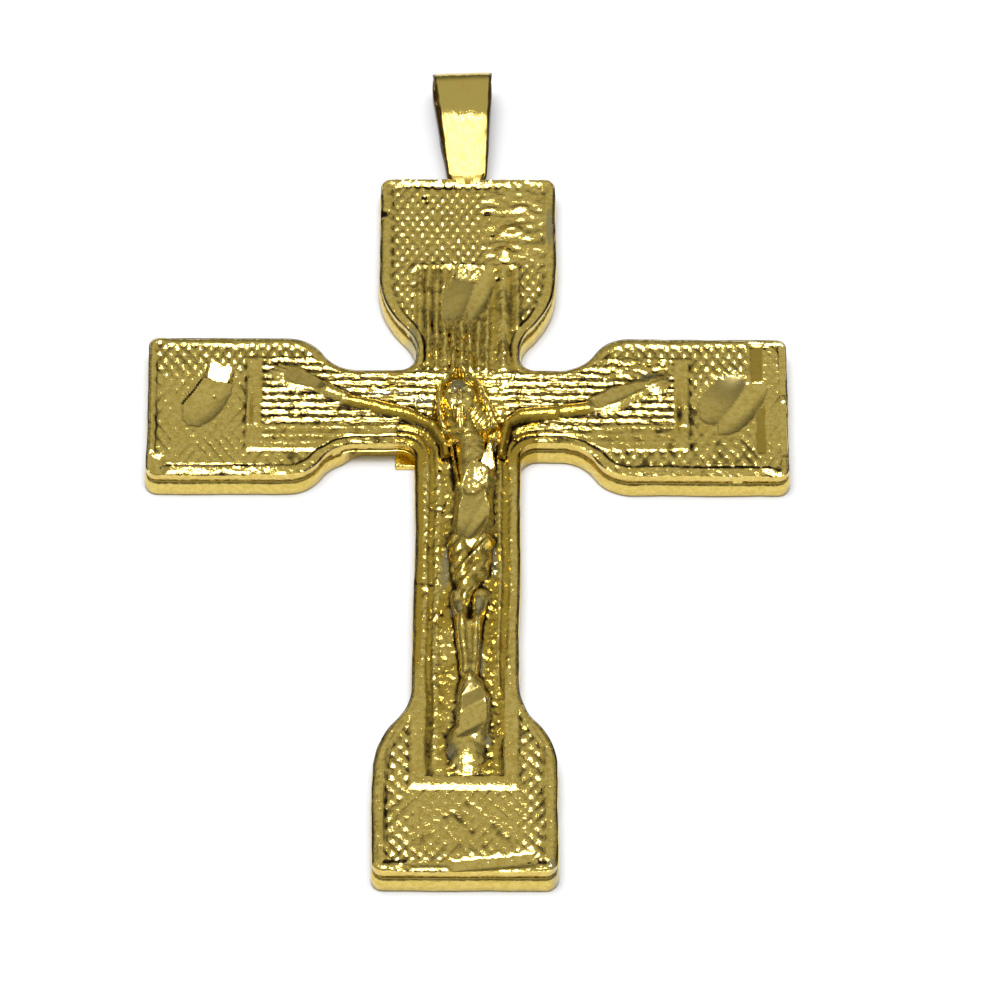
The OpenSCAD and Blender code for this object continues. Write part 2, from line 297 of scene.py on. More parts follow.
# The border
# A low bevel runs round the whole face and falls off outwards. It came out of the mould crumbly
# along its lower edges, and a fine groove parts it from the panels. Painted shade darkens that
# groove, the outer edge, and the stretches of border that face the foot.
FLOOR_Z = 1.52
RIM_EDGE_Z = 1.49
BORDER_Z = 1.62
BORDER_WIDE, BORDER_SLIM = 0.58, 0.42
BORDER_ARM_END = 0.37
BORDER_FOOT_SIDE, BORDER_FOOT_END = 0.68, 0.5
# The border is widest beside the foot panel, past a shoulder from y to y
FOOT_SIDE_FROM, FOOT_SIDE_TO = -18.5, -20.5
STREAK_H, STREAK_PITCH = 0.028, 0.26
GROOVE_HALF = 0.13
# Painted shade on the borders that face the foot, and the width of the painted dark outline
NEAR_SHADE = 0.3
OUTLINE_SHADE = 0.2


def crumb(x, y, seed):
    """Small broken lumps, from about -1 to 1."""
    return 0.6 * wander(x, y, 0.24, seed) + 0.6 * wander(x, y, 0.12, seed + 0.5)


def wave(turns):
    """A wave from 1 to -1 and back over each whole turn."""
    return cos(2 * pi * turns)


def bump(x, y, at_x, at_y, wide, tall):
    """A small round rise: 1 at its middle and 0 from its edge outwards."""
    away = ((x - at_x) / wide) ** 2 + ((y - at_y) / tall) ** 2
    return (1.0 - away) ** 2 if away < 1.0 else 0.0


def border_width(x, y):
    """Width of the border, which differs from side to side."""
    end, along, _ = end_at(x, y)
    slim = ease(0.2, 1.4, LOBE_HALF - end.half_width(along))
    width = blend(BORDER_WIDE, BORDER_SLIM, slim)
    width = blend(width, BORDER_ARM_END, ease(14.7, 15.2, abs(x)))
    width = blend(width, BORDER_FOOT_SIDE, ease(FOOT_SIDE_FROM, FOOT_SIDE_TO, y))
    width = blend(width, BORDER_FOOT_END, ease(-27.3, -27.8, y))
    return width + 0.05 * wander(x, y, 1.7, 3) + 0.03 * wander(x, y, 0.5, 4)


def border(x, y, inside):
    """Height of the bevel over the back, how much of it stands here, and its painted shade lines."""
    width = border_width(x, y)
    # 1 where the edge faces the foot, and -1 where it faces the bail
    near_side = (edge_distance(x, y + 0.05) - edge_distance(x, y - 0.05)) / 0.1
    near_side = min(max(near_side, -1.0), 1.0)
    top_end = ease(13.4, 13.8, y)
    far_side = max(-near_side, 0.0) * (1.0 - top_end)
    near_side = max(near_side, 0.0)
    burr = near_side * min(ease(-8.6, -9.4, x) + ease(13.9, 14.5, x) + 0.4 * ease(-26, -27, y), 1.0)
    rough = 0.01 + 0.03 * near_side + 0.05 * burr + 0.065 * top_end
    fall = 0.05 + 0.17 * far_side + 0.17 * burr - 0.3 * top_end
    crest = BORDER_Z - fall * (0.5 * width - inside) - 0.03 * far_side
    crest += 0.02 * wander(x, y, 1.4, 9) + rough * crumb(x, y, 2)
    foot_side = ease(FOOT_SIDE_FROM, FOOT_SIDE_TO, y) * ease(3.2, 3.6, abs(x))
    crest += STREAK_H * wave(inside / STREAK_PITCH) * foot_side
    outer = ease(-0.03 - 0.1 * near_side, 0.12 * (1.0 - near_side), inside)
    inner = 1.0 - ease(0.84, 1.06, inside / width)
    # Painted shade: a dark line in the groove, a dark outline along the outer edge, and a darker border on
    # the sides that face the foot, save where they are burred.
    line = bump(inside, 0.0, width, 0.0, GROOVE_HALF, 1.0)
    line *= 0.25 + 0.75 * near_side - 0.25 * far_side + 1.2 * wander(x, y, 2.6, 5)
    if abs(x) < 2.8 and y < -CROSSING_Y:
        line = 0.0
    rim = bump(inside, 0.0, 0.0, 0.0, OUTLINE_SHADE, 1.0)
    rim *= 1.15 - 0.85 * near_side - 0.8 * foot_side + 0.7 * wander(x, y, 1.6, 6)
    near_shade = NEAR_SHADE * (near_side - burr) * (1.0 + 1.5 * wander(x, y, 0.6, 7))
    return blend(RIM_EDGE_Z, crest, outer), inner, max(line, rim, near_shade, 0.0)


# The panels
# The sunk panels of the four ends are crosshatched: two sets of slanting cuts leave rows of small
# beads, sharp near the upper edge and worn elsewhere. The top panel's right side is a smear.
FOOT_PANEL_Y, TOP_PANEL_Y = -15, 4.4
# Crosshatch of the panels: spacing of the cuts along x and along y, and how far they stay strokes
FOOT_HATCH = (0.62, 0.74, 0.6)
TOP_HATCH = (0.5, 0.76, 0.15)
ARM_HATCH = (0.56, 0.84, 0.35)
BEAD_SHARP, BEAD_WORN = 0.115, 0.024
PANEL_PATINA = 0.3
SMEAR_X, SMEAR_Y = 2.35, 11.5
SMEAR_HALF_W, SMEAR_HALF_H = 1.55, 2.4
# Lumps of metal in the smear: x, y, half width, half height, rise
LUMPS = [(2.15, 11.25, 0.85, 0.36, 0.2), (1.75, 9.75, 0.62, 0.5, 0.22), (2.7, 12.7, 0.5, 0.25, 0.1)]


def ridge(turns):
    """A row of ridges from 0 to 1, one to each whole turn."""
    return 0.5 + 0.5 * wave(turns)


def bumps(x, y, table):
    """Height of a table of small round rises."""
    return sum(rise * bump(x, y, at_x, at_y, wide, tall) for at_x, at_y, wide, tall, rise in table)


def panel(x, y):
    """Height of the crosshatched ground over the back, and the patina in its cuts."""
    x += 0.06 * wander(x, y, 1.3, 11)
    y += 0.06 * wander(x, y, 1.3, 12)
    if y < FOOT_PANEL_Y:
        along_x, along_y, stroke = FOOT_HATCH
        sharp = -0.15 + 0.75 * ease(2.3, 3, abs(x)) + 0.5 * ease(-26.3, -26.9, y)
    elif y > TOP_PANEL_Y:
        along_x, along_y, stroke = TOP_HATCH
        sharp = 0.74
    else:
        along_x, along_y, stroke = ARM_HATCH
        right = 1.0 if x > 0 else 0.0
        sharp = 0.95 * ease(1.2, 2.7, y + 0.9 * right) + 0.5 * right * ease(-1.6, -2.6, y)
    chance = 0.5 * wander(x, y, 0.7, 14) + 0.5 * wander(x, y, 0.35, 15)
    sharp = min(max(sharp + chance * (0.45 + 0.55 * min(max(sharp, 0.0), 1.0)), 0.0), 1.3)
    ridge_a = ridge(x / along_x + y / along_y)
    ridge_b = ridge(x / along_x - y / along_y)
    mix = min(max(0.5 + 2.2 * wander(x, y, 1.6, 21), 0.0), 1.0)
    strokes = blend(ridge_b, ridge_a, mix)
    beads = blend(ridge_a * ridge_b, strokes, stroke)
    height = blend(BEAD_WORN, BEAD_SHARP, sharp)
    worn = 1.0 - ease(0.8, 1.15, max(abs(x - SMEAR_X) / SMEAR_HALF_W, abs(y - SMEAR_Y) / SMEAR_HALF_H))
    smear = 0.05 + 0.1 * wander(x * 0.7, y * 1.5, 0.6, 17) + 0.03 * crumb(x, y, 18)
    smear += bumps(x, y, LUMPS)
    relief = blend(height * beads, smear, worn) + 0.01 * crumb(x, y, 19)
    patina = PANEL_PATINA * (1.0 - strokes) ** 2 * (1.0 - worn) * (1.0 - 0.5 * min(sharp, 1.0))
    return FLOOR_Z + relief, patina


# The ribbed cross
# A straight cross lies in the wider one, raised a little. Flat bands frame its ends, and between
# them run ribs: straight out along the arms, up and down the stem, bent round the lower corners.
RIBBED_TOP = 9
RIBBED_FOOT = -23.3
RIBBED_SIDE = 10.85
RIBBED_ARM_TOP, RIBBED_ARM_LOW = 3, -2.78
RIBBED_STEM_X, RIBBED_STEM_HALF = -0.06, 2.6
RIBBED_Z = 1.68
TOP_RIBS_Y, LOW_RIBS_Y = 2.25, -1.0
RIB_H, RIB_PITCH = 0.125, 0.41
BENT_RIB_PITCH = 0.533
ARM_RIB_H, ARM_RIB_PITCH = 0.085, 0.465
SLOT_H = 0.1
CHAMFER = 0.18
# Strips along the lower stem: x of the middle, half width, rise, amber, broken lumps
STRIPS = [
    (-2.36, 0.22, -0.45, 1.0, 0.3), (-2.02, 0.15, 0.35, 0.05, 0.8), (-1.74, 0.17, -0.45, 1.0, 0.25),
    (-1.44, 0.17, 0.3, 0.15, 0.85), (1.16, 0.34, 0.0, 0.95, 0.9), (1.6, 0.09, 0.45, 0.0, 0.4),
    (1.88, 0.22, -0.5, 1.0, 0.2), (2.26, 0.22, 0.25, 0.0, 0.9)]
# Places on the stem where the casting is rough: x, y, half width, half height
ROUGH_SPOTS = [(-2.05, -11.7, 0.6, 0.6), (-1.95, -8.3, 0.25, 1.3), (-1.55, -13.1, 0.4, 0.6),
               (-0.95, -16.7, 0.35, 0.7), (-1.5, -15.3, 0.3, 0.6), (1.1, -6.6, 0.35, 1.3),
               (1.2, -12.4, 0.35, 0.8), (-1.9, -6.2, 0.5, 0.4)]


def saw(distance, pitch):
    """The profile of the arm's ribs across their run: a floor, a long slope and a short one."""
    phase = (distance / pitch) % 1.0
    return ease(0.42, 0.82, phase) if phase < 0.84 else ease(1.0, 0.84, phase)


def low_edge(inside):
    """The lower edges of the ribbed cross: a small step and then a chamfer up to its face."""
    return 0.6 + 0.4 * min(inside / CHAMFER, 1.0) if inside > 0.0 else 0.0


def top_ribs(x, y):
    """The ribs over the head: their height from the flat bands, their amber and their dirt."""
    pitch = RIB_PITCH if x < 1.2 else 2 * RIB_PITCH
    drift = 0.04 * wander(x, y, 1.2, 35) - 0.1
    ribs = 1.25 * ridge((x + drift) / pitch)
    amber = 0.6 * (1.0 - 0.8 * ribs)
    lip = ease(0.34, 0.08, RIBBED_TOP - y)
    ribs = blend(ribs, 1.25, lip)
    ribs += (0.45 + 0.35 * ease(5.6, 4, y)) * crumb(x, 0.6 * y, 36.5)
    broken = 0.75 + 0.6 * wander(x, y * 0.5, 0.5, 36)
    return RIB_H * (ribs * broken - 1.0), amber, 0.0


def bent_ribs(x, y, inside):
    """The ribs that bend round the lower corners, from 0 to 1, and their amber."""
    across = inside if y > -CROSSING_Y else STEM_HALF - abs(x)
    lit = ease(0.98, 1.15, across)
    turns = (across + 0.08 * wander(x, y, 1.0, 37.5)) / BENT_RIB_PITCH
    return ridge(turns) + (0.15 + 0.45 * lit) * crumb(x, 0.8 * y, 40.5), 0.9 - 0.6 * lit


def stem_strips(x, y):
    """The worn strips of the lower stem, from 0 to 1, and their amber."""
    drift = 0.13 * wander(x, 0.5 * y, 1.3, 37)
    strips = 0.45
    amber = 0.6
    lumps = 0.5
    for strip_x, half, rise, strip_amber, strip_lumps in STRIPS:
        share = min(1.6 * bump(x + drift, 0.0, strip_x, 0.0, half, 1.0), 1.0)
        strips += rise * share
        amber = blend(amber, strip_amber, share)
        lumps = blend(lumps, strip_lumps, share)
    for spot_x, spot_y, half_w, half_h in ROUGH_SPOTS:
        lumps += 0.8 * bump(x, y, spot_x, spot_y, half_w, half_h)
    strips += lumps * crumb(x, 0.8 * y, 40) + 0.45 * wander(x, 0.6 * y, 0.45, 40.7)
    return strips, amber + 0.5 * wander(x, 0.4 * y, 0.9, 37.8)


def low_ribs(x, y, inside):
    """The ribs under the arms and down the stem, with a flat band round the foot end."""
    bent, bent_amber = bent_ribs(x, y, inside)
    strips, strip_amber = stem_strips(x, y)
    low_run = ease(-3, -4.6, y)
    ribs = blend(bent, strips, low_run)
    amber = blend(bent_amber, strip_amber, low_run)
    low = ease(-15, -18, y)
    across = abs(x - RIBBED_STEM_X)
    side_band = ease(0.76, 0.66, RIBBED_STEM_HALF - across)
    end_band = ease(0.72, 0.64, y - RIBBED_FOOT)
    band = max(side_band * low, end_band)
    gutter = low * bump(across, 0.0, RIBBED_STEM_HALF - 0.9, 0.0, 0.26, 1.0) * (1.0 - end_band)
    ribs = blend(ribs, 0.75, band) - 0.45 * gutter
    return RIB_H * (0.9 * ribs - 1.0), max(amber * (1.0 - 0.85 * band), 1.1 * gutter), 0.0


def arm_ribs(x, y):
    """The ribs along the arms, with a flat band and a slot at their ends."""
    ribs = saw(y + 0.29 + 0.03 * wander(x, y, 0.9, 38), ARM_RIB_PITCH)
    lumpy = ease(1.2, 2, y) * ease(6, 7, x)
    lowest = -1.25 - 0.5 * ease(6.6, 6, x) * (x > 0)
    worn = ease(lowest + 0.15, lowest - 0.1, y) * (1.0 - bump(x, y, -9.4, -1.95, 0.95, 0.5))
    broken = (1.05 + 0.55 * wander(x, y, 0.8, 34)) * (1.0 - 0.75 * worn)
    dirt = 0.34 * ease(0.45, 0.05, ribs) * (1.0 - 0.5 * lumpy) * (1.0 - 0.6 * worn)
    lumps = (0.75 + 0.8 * lumpy) * (1.0 - 0.6 * worn)
    ribs = ribs * (1.0 - 0.6 * lumpy) + lumps * crumb(0.7 * x, y, 39)
    amber = 0.3 - 0.3 * ribs
    band = ease(0.76, 0.7, RIBBED_SIDE - abs(x))
    slot_in, slot_half = (0.26, 0.14) if x < 0 else (0.5, 0.24)
    slot = bump(abs(x), y, RIBBED_SIDE - slot_in, -0.3, slot_half, 1.75)
    ribs = blend(ribs, 0.75, band)
    rise = ARM_RIB_H * (ribs * broken - 1.0) - SLOT_H * slot
    return rise, max(amber, 0.0) + 0.6 * slot, dirt * (1.0 - band)


def ribbed_cross(x, y, inside):
    """Height of the ribbed cross over the back, its share of this point, its amber and its dirt."""
    jag = 0.06 * crumb(x, y, 31)
    on_arm = (ease(-0.05, 0.05, RIBBED_SIDE - abs(x) + jag) * ease(-0.05, 0.05, RIBBED_ARM_TOP - y + jag)
              * low_edge(y - RIBBED_ARM_LOW + jag))
    on_stem = (ease(-0.05, 0.05, RIBBED_STEM_HALF - abs(x - RIBBED_STEM_X) + jag)
               * ease(-0.05, 0.05, RIBBED_TOP - y + 0.4 * jag)
               * low_edge(y - RIBBED_FOOT + jag))
    here = max(on_arm, on_stem)
    if here == 0.0:
        return FLOOR_Z, 0.0, 0.0, 0.0
    if abs(x) < CROSSING_X and y > TOP_RIBS_Y:
        rise, amber, dirt = top_ribs(x, y)
    elif abs(x) < CROSSING_X and y < LOW_RIBS_Y:
        rise, amber, dirt = low_ribs(x, y, inside)
    else:
        rise, amber, dirt = arm_ribs(x, y)
    on_chamfer = here * (1.0 - here) * 4
    top = RIBBED_Z + rise + 0.012 * crumb(x, y, 33) + 0.045 * on_chamfer * crumb(x, y, 33.5)
    return top, here, min(max(amber, 0.0), 1.0), dirt


# The figure
# The body is cast with the cross and stands out from it in soft, worn forms. Each limb runs along
# a chain of points of the face: x, y, half width and height.
GROUND_Z = 1.6


def links(*chains):
    """The limbs of a group: each joins two neighbours of a chain."""
    return [first + second for chain in chains for first, second in zip(chain, chain[1:])]


UPPER_ARMS = links(
    [(-0.98, -4.6, 0.2, 0.26), (-1.12, -2.6, 0.3, 0.36), (-1.75, -1.35, 0.4, 0.36),
     (-3, -0.55, 0.42, 0.32), (-4.6, -0.02, 0.42, 0.3), (-6.1, 0.34, 0.36, 0.28)],
    [(1.42, -5.6, 0.2, 0.26), (1.66, -3, 0.26, 0.34), (1.9, -1.3, 0.34, 0.38),
     (2.6, -0.66, 0.42, 0.36), (4.2, -0.44, 0.46, 0.32), (5.9, -0.16, 0.42, 0.3)])
FOREARMS = links(
    [(-6, 0.42, 0.42, 0.3), (-6.9, 0.92, 0.46, 0.3), (-7.7, 1.36, 0.4, 0.25)],
    [(-7.7, 1.36, 0.5, 0.25), (-8.6, 1.72, 0.74, 0.2), (-9.1, 1.92, 0.66, 0.16)],
    [(6.2, 0.02, 0.55, 0.28), (7.3, 0.45, 0.74, 0.28), (8.45, 1.02, 0.6, 0.25)],
    [(8.6, 1.08, 0.4, 0.2), (9.25, 1.3, 0.62, 0.2), (9.5, 1.4, 0.5, 0.16)])
TRUNK = links(
    [(0.2, -2.3, 0.8, 0.42), (0.3, -4.2, 1.06, 0.6), (0.3, -6.4, 0.98, 0.58),
     (0.22, -8.4, 1.12, 0.56)],
    [(-0.84, -2.6, 0.12, 0.48), (-0.5, -5.1, 0.1, 0.6)],
    [(1.12, -2.4, 0.2, 0.5), (1.05, -3.9, 0.34, 0.58)],
    [(-0.1, -1.0, 0.52, 0.46), (0.1, -2.4, 0.62, 0.42)])
CLOTH = links(
    [(-0.36, -8.5, 0.72, 0.52), (-0.2, -10.6, 0.62, 0.52)],
    [(0.74, -8.5, 0.66, 0.54), (0.4, -10.4, 0.66, 0.52)],
    [(0.05, -10.4, 0.86, 0.52), (-0.1, -12.4, 0.26, 0.4)],
    [(-0.1, -12.4, 0.24, 0.4), (-0.13, -12.8, 0.1, 0.2)])
FOLD = links([(-0.22, -10.35, 0.3, 0.66), (0.98, -8.8, 0.3, 0.72)])
LEGS = links(
    [(-0.4, -11.8, 0.44, 0.3), (-0.2, -13.3, 0.4, 0.46)],
    [(0.66, -11.8, 0.46, 0.3), (0.54, -13.4, 0.34, 0.42)],
    [(-0.2, -13.3, 0.4, 0.46), (0.02, -16.6, 0.34, 0.36)],
    [(0.54, -13.4, 0.34, 0.4), (0.34, -16.6, 0.32, 0.36)],
    [(0.14, -13.6, 0.5, 0.3), (0.18, -16.6, 0.42, 0.28)],
    [(0.18, -16.7, 0.46, 0.42), (0.34, -18.1, 0.82, 0.48)],
    [(0.36, -18.1, 0.84, 0.5), (0.32, -20.2, 0.86, 0.46)],
    [(0.02, -20.4, 0.92, 0.42), (0.1, -21.5, 0.84, 0.38), (0.12, -22, 0.66, 0.26)])
# Swellings on the chest, knees and ankles: x, y, half width, half height, rise
CHEST = [(-0.25, -3.15, 0.55, 0.6, 0.06), (0.85, -3.15, 0.55, 0.6, 0.06)]
LEG_JOINTS = [(-0.12, -13.4, 0.3, 0.5, 0.1), (0.52, -13.6, 0.3, 0.5, 0.1),
              (0.15, -16.9, 0.3, 0.4, 0.1), (0.8, -17.2, 0.24, 0.6, 0.1)]


def limb(x, y, row):
    """Height of one swelling over the ground, below zero outside it."""
    x1, y1, r1, h1, x2, y2, r2, h2 = row
    dx = x2 - x1
    dy = y2 - y1
    t = min(max(((x - x1) * dx + (y - y1) * dy) / (dx * dx + dy * dy), 0.0), 1.0)
    r = blend(r1, r2, t)
    away = ((x - x1 - t * dx) ** 2 + (y - y1 - t * dy) ** 2) / (r * r)
    return blend(h1, h2, t) * (1.0 - away)


def soft_max(a, b, fillet):
    """The larger of two heights, with the corner between them filled over that width."""
    gap = max(fillet - abs(a - b), 0.0) / fillet
    return max(a, b) + gap * gap * fillet * 0.25


def swelling(x, y, limbs, fillet):
    """Height of a group of limbs that run into each other."""
    top = -1.0
    for row in limbs:
        top = soft_max(top, limb(x, y, row), fillet)
    return top


# The head
# It is framed by long parted hair and leans a little. The face is calm and plain, drawn on the
# usual thirds, with lowered eyelids and a short beard. A twisted band lies across the hair.
HEAD_X, HEAD_Y = -0.4, 0.05
HEAD_LEAN = radians(4)
FACE_HALF_W, FACE_HALF_H = 0.82, 1.25
HOOD = links(
    [(-0.38, 0.85, 1.0, 0.62), (-0.42, -0.4, 1.15, 0.6), (-0.35, -1.6, 0.95, 0.5)],
    [(0.05, 0.3, 0.85, 0.6), (0.66, -1.1, 0.8, 0.5)])
LOCKS = links(
    [(-0.62, 1.75, 0.3, 0.7), (-1.28, 0.9, 0.3, 0.72), (-1.46, -0.6, 0.28, 0.62),
     (-1.16, -1.9, 0.26, 0.48)],
    [(-0.3, 1.85, 0.3, 0.74), (0.42, 1.1, 0.32, 0.74), (0.92, -0.3, 0.36, 0.68),
     (1.3, -1.4, 0.34, 0.52)],
    [(-1.1, -2.05, 0.16, 0.52), (0.1, -2.1, 0.16, 0.56), (1.42, -1.55, 0.16, 0.48)])
BAND = links([(-1.16, 1.18, 0.16, 0.74), (-0.4, 1.6, 0.16, 0.8), (0.38, 1.26, 0.16, 0.74)])
BEARD = links([(-0.42, -0.75, 0.62, 0.86), (-0.4, -1.35, 0.5, 0.72), (-0.36, -1.85, 0.26, 0.54)])
# Forms of the face in shares of its half width and half height: across, up, half width, half
# height, and rise in millimetres. Brow, eye socket, eyelid and cheek are made on both sides.
PAIRED_FORMS = [(0.4, 0.34, 0.34, 0.09, 0.05), (0.42, 0.19, 0.34, 0.16, -0.12),
                (0.42, 0.15, 0.22, 0.09, 0.075), (0.56, -0.16, 0.26, 0.2, 0.05)]
# Bridge and tip of the nose, upper and lower lip, and the line between them
MIDDLE_FORMS = [(0.0, 0.0, 0.17, 0.38, 0.15), (0.0, -0.22, 0.25, 0.12, 0.09),
                (0.0, -0.5, 0.32, 0.06, 0.06), (0.0, -0.62, 0.26, 0.06, 0.06),
                (0.0, -0.56, 0.34, 0.035, -0.05)]
FACE_FORMS = MIDDLE_FORMS + [(side * row[0],) + row[1:] for side in (-1, 1) for row in PAIRED_FORMS]
HAIR_PITCH, BAND_PITCH, BEARD_PITCH = 0.3, 0.22, 0.13


def head(x, y):
    """Height of the head over the ground."""
    dx = x - HEAD_X
    dy = y - HEAD_Y
    u = (dx * cos(HEAD_LEAN) + dy * sin(HEAD_LEAN)) / FACE_HALF_W
    v = (dy * cos(HEAD_LEAN) - dx * sin(HEAD_LEAN)) / FACE_HALF_H
    hair = soft_max(swelling(x, y, HOOD, 0.1), swelling(x, y, LOCKS, 0.05), 0.12)
    strand = hypot(1.25 * dx, 0.8 * (dy - 0.3)) + 0.1 * wander(x, y, 0.6, 41)
    hair += 0.032 * wave(strand / HAIR_PITCH) * ease(0.0, 0.2, hair)
    band = swelling(x, y, BAND, 0.02) + 0.03 * wave((x + 0.5 * y) / BAND_PITCH)
    top = max(hair, band)
    oval = 1.0 - (u / (1.0 - 0.26 * ease(0.0, -1.0, v))) ** 2 - v ** 2
    face = 0.58 + 0.24 * max(oval, -0.6) + bumps(u, v, FACE_FORMS)
    beard = swelling(x, y, BEARD, 0.06) + 0.022 * wave(dx / BEARD_PITCH)
    beard -= 0.5 * ease(-0.62, -0.5, v)
    inside_face = ease(-0.06, 0.34, oval)
    top = blend(top, min(face, 2), inside_face)
    return max(top, beard) + 0.012 * crumb(x, y, 46) * (1.0 - inside_face)


def figure(x, y):
    """Height of the figure over the ground, below zero outside it, and its amber share."""
    if y > 3 or y < -23 or abs(x) > 10.4 or (y < -3.4 and abs(x) > 2.2):
        return -1.0, 0.0
    top = -1.0
    amber = 0.0
    if abs(x) < 2.2 and y < -0.8:
        body = swelling(x, y, TRUNK, 0.12)
        body += bumps(x, y, CHEST) + 0.02 * crumb(x, y, 42)
        cloth = swelling(x, y, CLOTH, 0.1)
        slant = x * 0.76 - y * 0.65 + 0.08 * wander(x, y, 0.7, 43)
        cloth += 0.035 * wave(slant / 0.55)
        cloth += 0.03 * crumb(x, y, 44) + 0.09 * crumb(x, y, 44.5) * bump(x, y, -0.55, -8.1, 0.6, 0.8)
        fold = swelling(x, y, FOLD, 0.05) + 0.085 * crumb(x, y, 47)
        cloth = soft_max(cloth, fold, 0.06)
        legs = swelling(x, y, LEGS, 0.05)
        legs += bumps(x, y, LEG_JOINTS) + 0.05 * wander(x, y, 0.5, 48) + 0.02 * crumb(x, y, 49)
        if y < -21.2:
            legs -= 0.04 * ridge(x / 0.22) * ease(-21.2, -21.6, y)
        top = soft_max(body, legs, 0.05)
        if cloth > top:
            amber = 0.5
        top = max(top, cloth)
    if -3.4 < y < 2.9 and abs(x) > 0.6:
        upper = swelling(x, y, UPPER_ARMS, 0.1) + 0.02 * wander(x, y, 0.6, 45)
        lower = swelling(x, y, FOREARMS, 0.1)
        if abs(x) > 8:
            lower += 0.03 * wave((y - 0.5 * abs(x)) / 0.3) * ease(8.3, 8.7, abs(x))
        if upper > max(top, -0.12):
            amber = ease(-0.12, 0.02, upper) * ease(6.4, 5.6, abs(x))
        top = soft_max(top, max(upper, lower), 0.08)
    if abs(x) < 2 and -2.6 < y < 2.3:
        skull = head(x, y)
        if skull > max(top, 0.0):
            amber = 0.5 * ease(0.6, 1.1, hypot((x - HEAD_X) / 0.9, (y - HEAD_Y) / 1.3))
        top = soft_max(top, skull, 0.05)
    return top, amber


# The bright cuts
# After casting, a turning wheel skimmed scoops and flats into the face, which stay mirror-bright.
# Each scoop: middle x and y, lowest height, half length, half width, angle of its length from +X,
# and how dull and dark it is at its low and at its high end: the dark is painted shade that
# stands in for the darker reflection in the cut.
SCOOPS = [
    (-12.8, 0.55, 1.31, 2.2, 1.14, 66, 0.0, 0.0),
    (12.48, 0.42, 1.33, 2, 1.2, 57, 0.1, 1.0),
    (13.42, -0.05, 1.3, 2.2, 0.84, 58, 0.0, -0.1),
    (-0.42, 6.95, 1.4, 2.05, 0.88, 72, 0.25, 0.75),
    (0.6, 7.05, 1.38, 2.15, 0.62, 72, 0.15, 0.0),
    (0.4, -5.15, 1.9, 1.55, 0.78, 62, 0.0, 0.15),
    (0.06, -6.95, 1.84, 1.75, 1.0, 60, 0.05, 0.4),
    (0.78, -7, 1.8, 1.75, 0.5, 62, 0.0, 0.0)]
SCOOP_BRIM = 0.26
# Each facet: middle of its low edge in x and y, height there, half width, uphill angle and slope.
FACETS = [
    (-12.33, 1.7, 1.25, 0.6, 73, 0.34),
    (-0.05, 8, 1.46, 0.6, 76, 0.22),
    (0.9, -4.05, 1.76, 0.46, 62, 0.3)]
FACET_REACH = 1.8
FACET_SIDE_SLOPE = 2.2
# Flats skimmed off the border and the feet: middle x and y, half length, half width, angle,
# height, amber, and dullness, which also darkens it with painted shade.
FLATS = [
    (1.3, -27.62, 1.9, 0.28, 7, 1.5, 0.0, 0.0),
    (-1.6, -27.62, 1.1, 0.16, 0.0, 1.54, 0.0, 0.0),
    (14.18, 2.3, 1.5, 0.22, 90, 1.5, 0.7, 0.3),
    (14.34, -1.4, 1.45, 0.16, 90, 1.5, 0.7, 0.3),
    (15.02, 2.3, 1.52, 0.5, 90, 1.55, 0.0, 0.0),
    (15.1, -1.4, 1.55, 0.42, 90, 1.54, 0.0, 0.0),
    (0.55, -18.2, 0.9, 0.46, 30, 1.9, 0.0, 0.55),
    (0.26, -19.35, 1.05, 0.5, 32, 1.84, 0.0, 0.05),
    (7.35, 0.72, 1.35, 0.36, 30, 1.76, 0.1, 0.2),
    (-8.1, 1.62, 0.8, 0.42, -22, 1.72, 0.0, 0.45),
    (-15.12, -3.8, 0.46, 0.07, 90, 1.44, 0.0, 0.0)]
FLAT_EDGE_SLOPE = 0.4
# A granular patch on the chest, where the wheel chattered: middle, half length, half width, angle
SCUFF_X, SCUFF_Y = 0.4, -4.95
SCUFF_HALF_L, SCUFF_HALF_W = 1.2, 0.82
SCUFF_TURN = 62


def turned(x, y, angle):
    """A point in the measure of a cut: along it and across it."""
    ca = cos(radians(angle))
    sa = sin(radians(angle))
    return x * ca + y * sa, y * ca - x * sa


def cuts_at(x, y):
    """The floor of each cut that reaches a point, its dullness and painted shade, and its amber."""
    for cx, cy, low, half_l, half_w, angle, low_shade, high_shade in SCOOPS:
        along, across = turned(x - cx, y - cy, angle)
        away = (along / half_l) ** 2 + (across / half_w) ** 2
        if away < 1.8 and max(abs(x - cx), abs(y - cy)) <= half_l + 0.4:
            high = ease(-0.6 * half_l, 0.8 * half_l, along)
            yield low + SCOOP_BRIM * away, blend(low_shade, high_shade, high), 0.0
    for cx, cy, low, half_w, angle, slope in FACETS:
        along, across = turned(x - cx, y - cy, angle)
        if along > 0.0 and max(abs(x - cx), abs(y - cy)) <= FACET_REACH:
            yield low + slope * along + FACET_SIDE_SLOPE * max(abs(across) - half_w, 0.0), 0.0, 0.0
    for cx, cy, half_l, half_w, angle, low, amber, dull in FLATS:
        along, across = turned(x - cx, y - cy, angle)
        beyond = max(abs(along) - half_l, abs(across) - half_w, 0.0)
        if beyond < 0.5:
            yield low + FLAT_EDGE_SLOPE * beyond, dull, amber * ease(0.2, 0.05, beyond)


def bright_cut(x, y, z):
    """Height of the face after the cuts, how far it lies in one, its dullness and painted shade, and its
    amber.
    """
    shine = 0.0
    dull = 0.0
    amber = 0.0
    for floor, floor_shade, floor_amber in cuts_at(x, y):
        if floor < z:
            shine = max(shine, ease(0.0, 0.03, z - floor))
            dull = floor_shade
            amber = floor_amber
            z = floor
    along, across = turned(x - SCUFF_X, y - SCUFF_Y, SCUFF_TURN)
    scuff = min(3 * bump(along, across, 0.0, 0.0, SCUFF_HALF_L, SCUFF_HALF_W), 1.0)
    z += scuff * (0.052 * crumb(x, y, 50) + 0.14 * (y + 5) - 0.02)
    return z, shine * (1.0 - 0.9 * scuff), dull * shine, amber
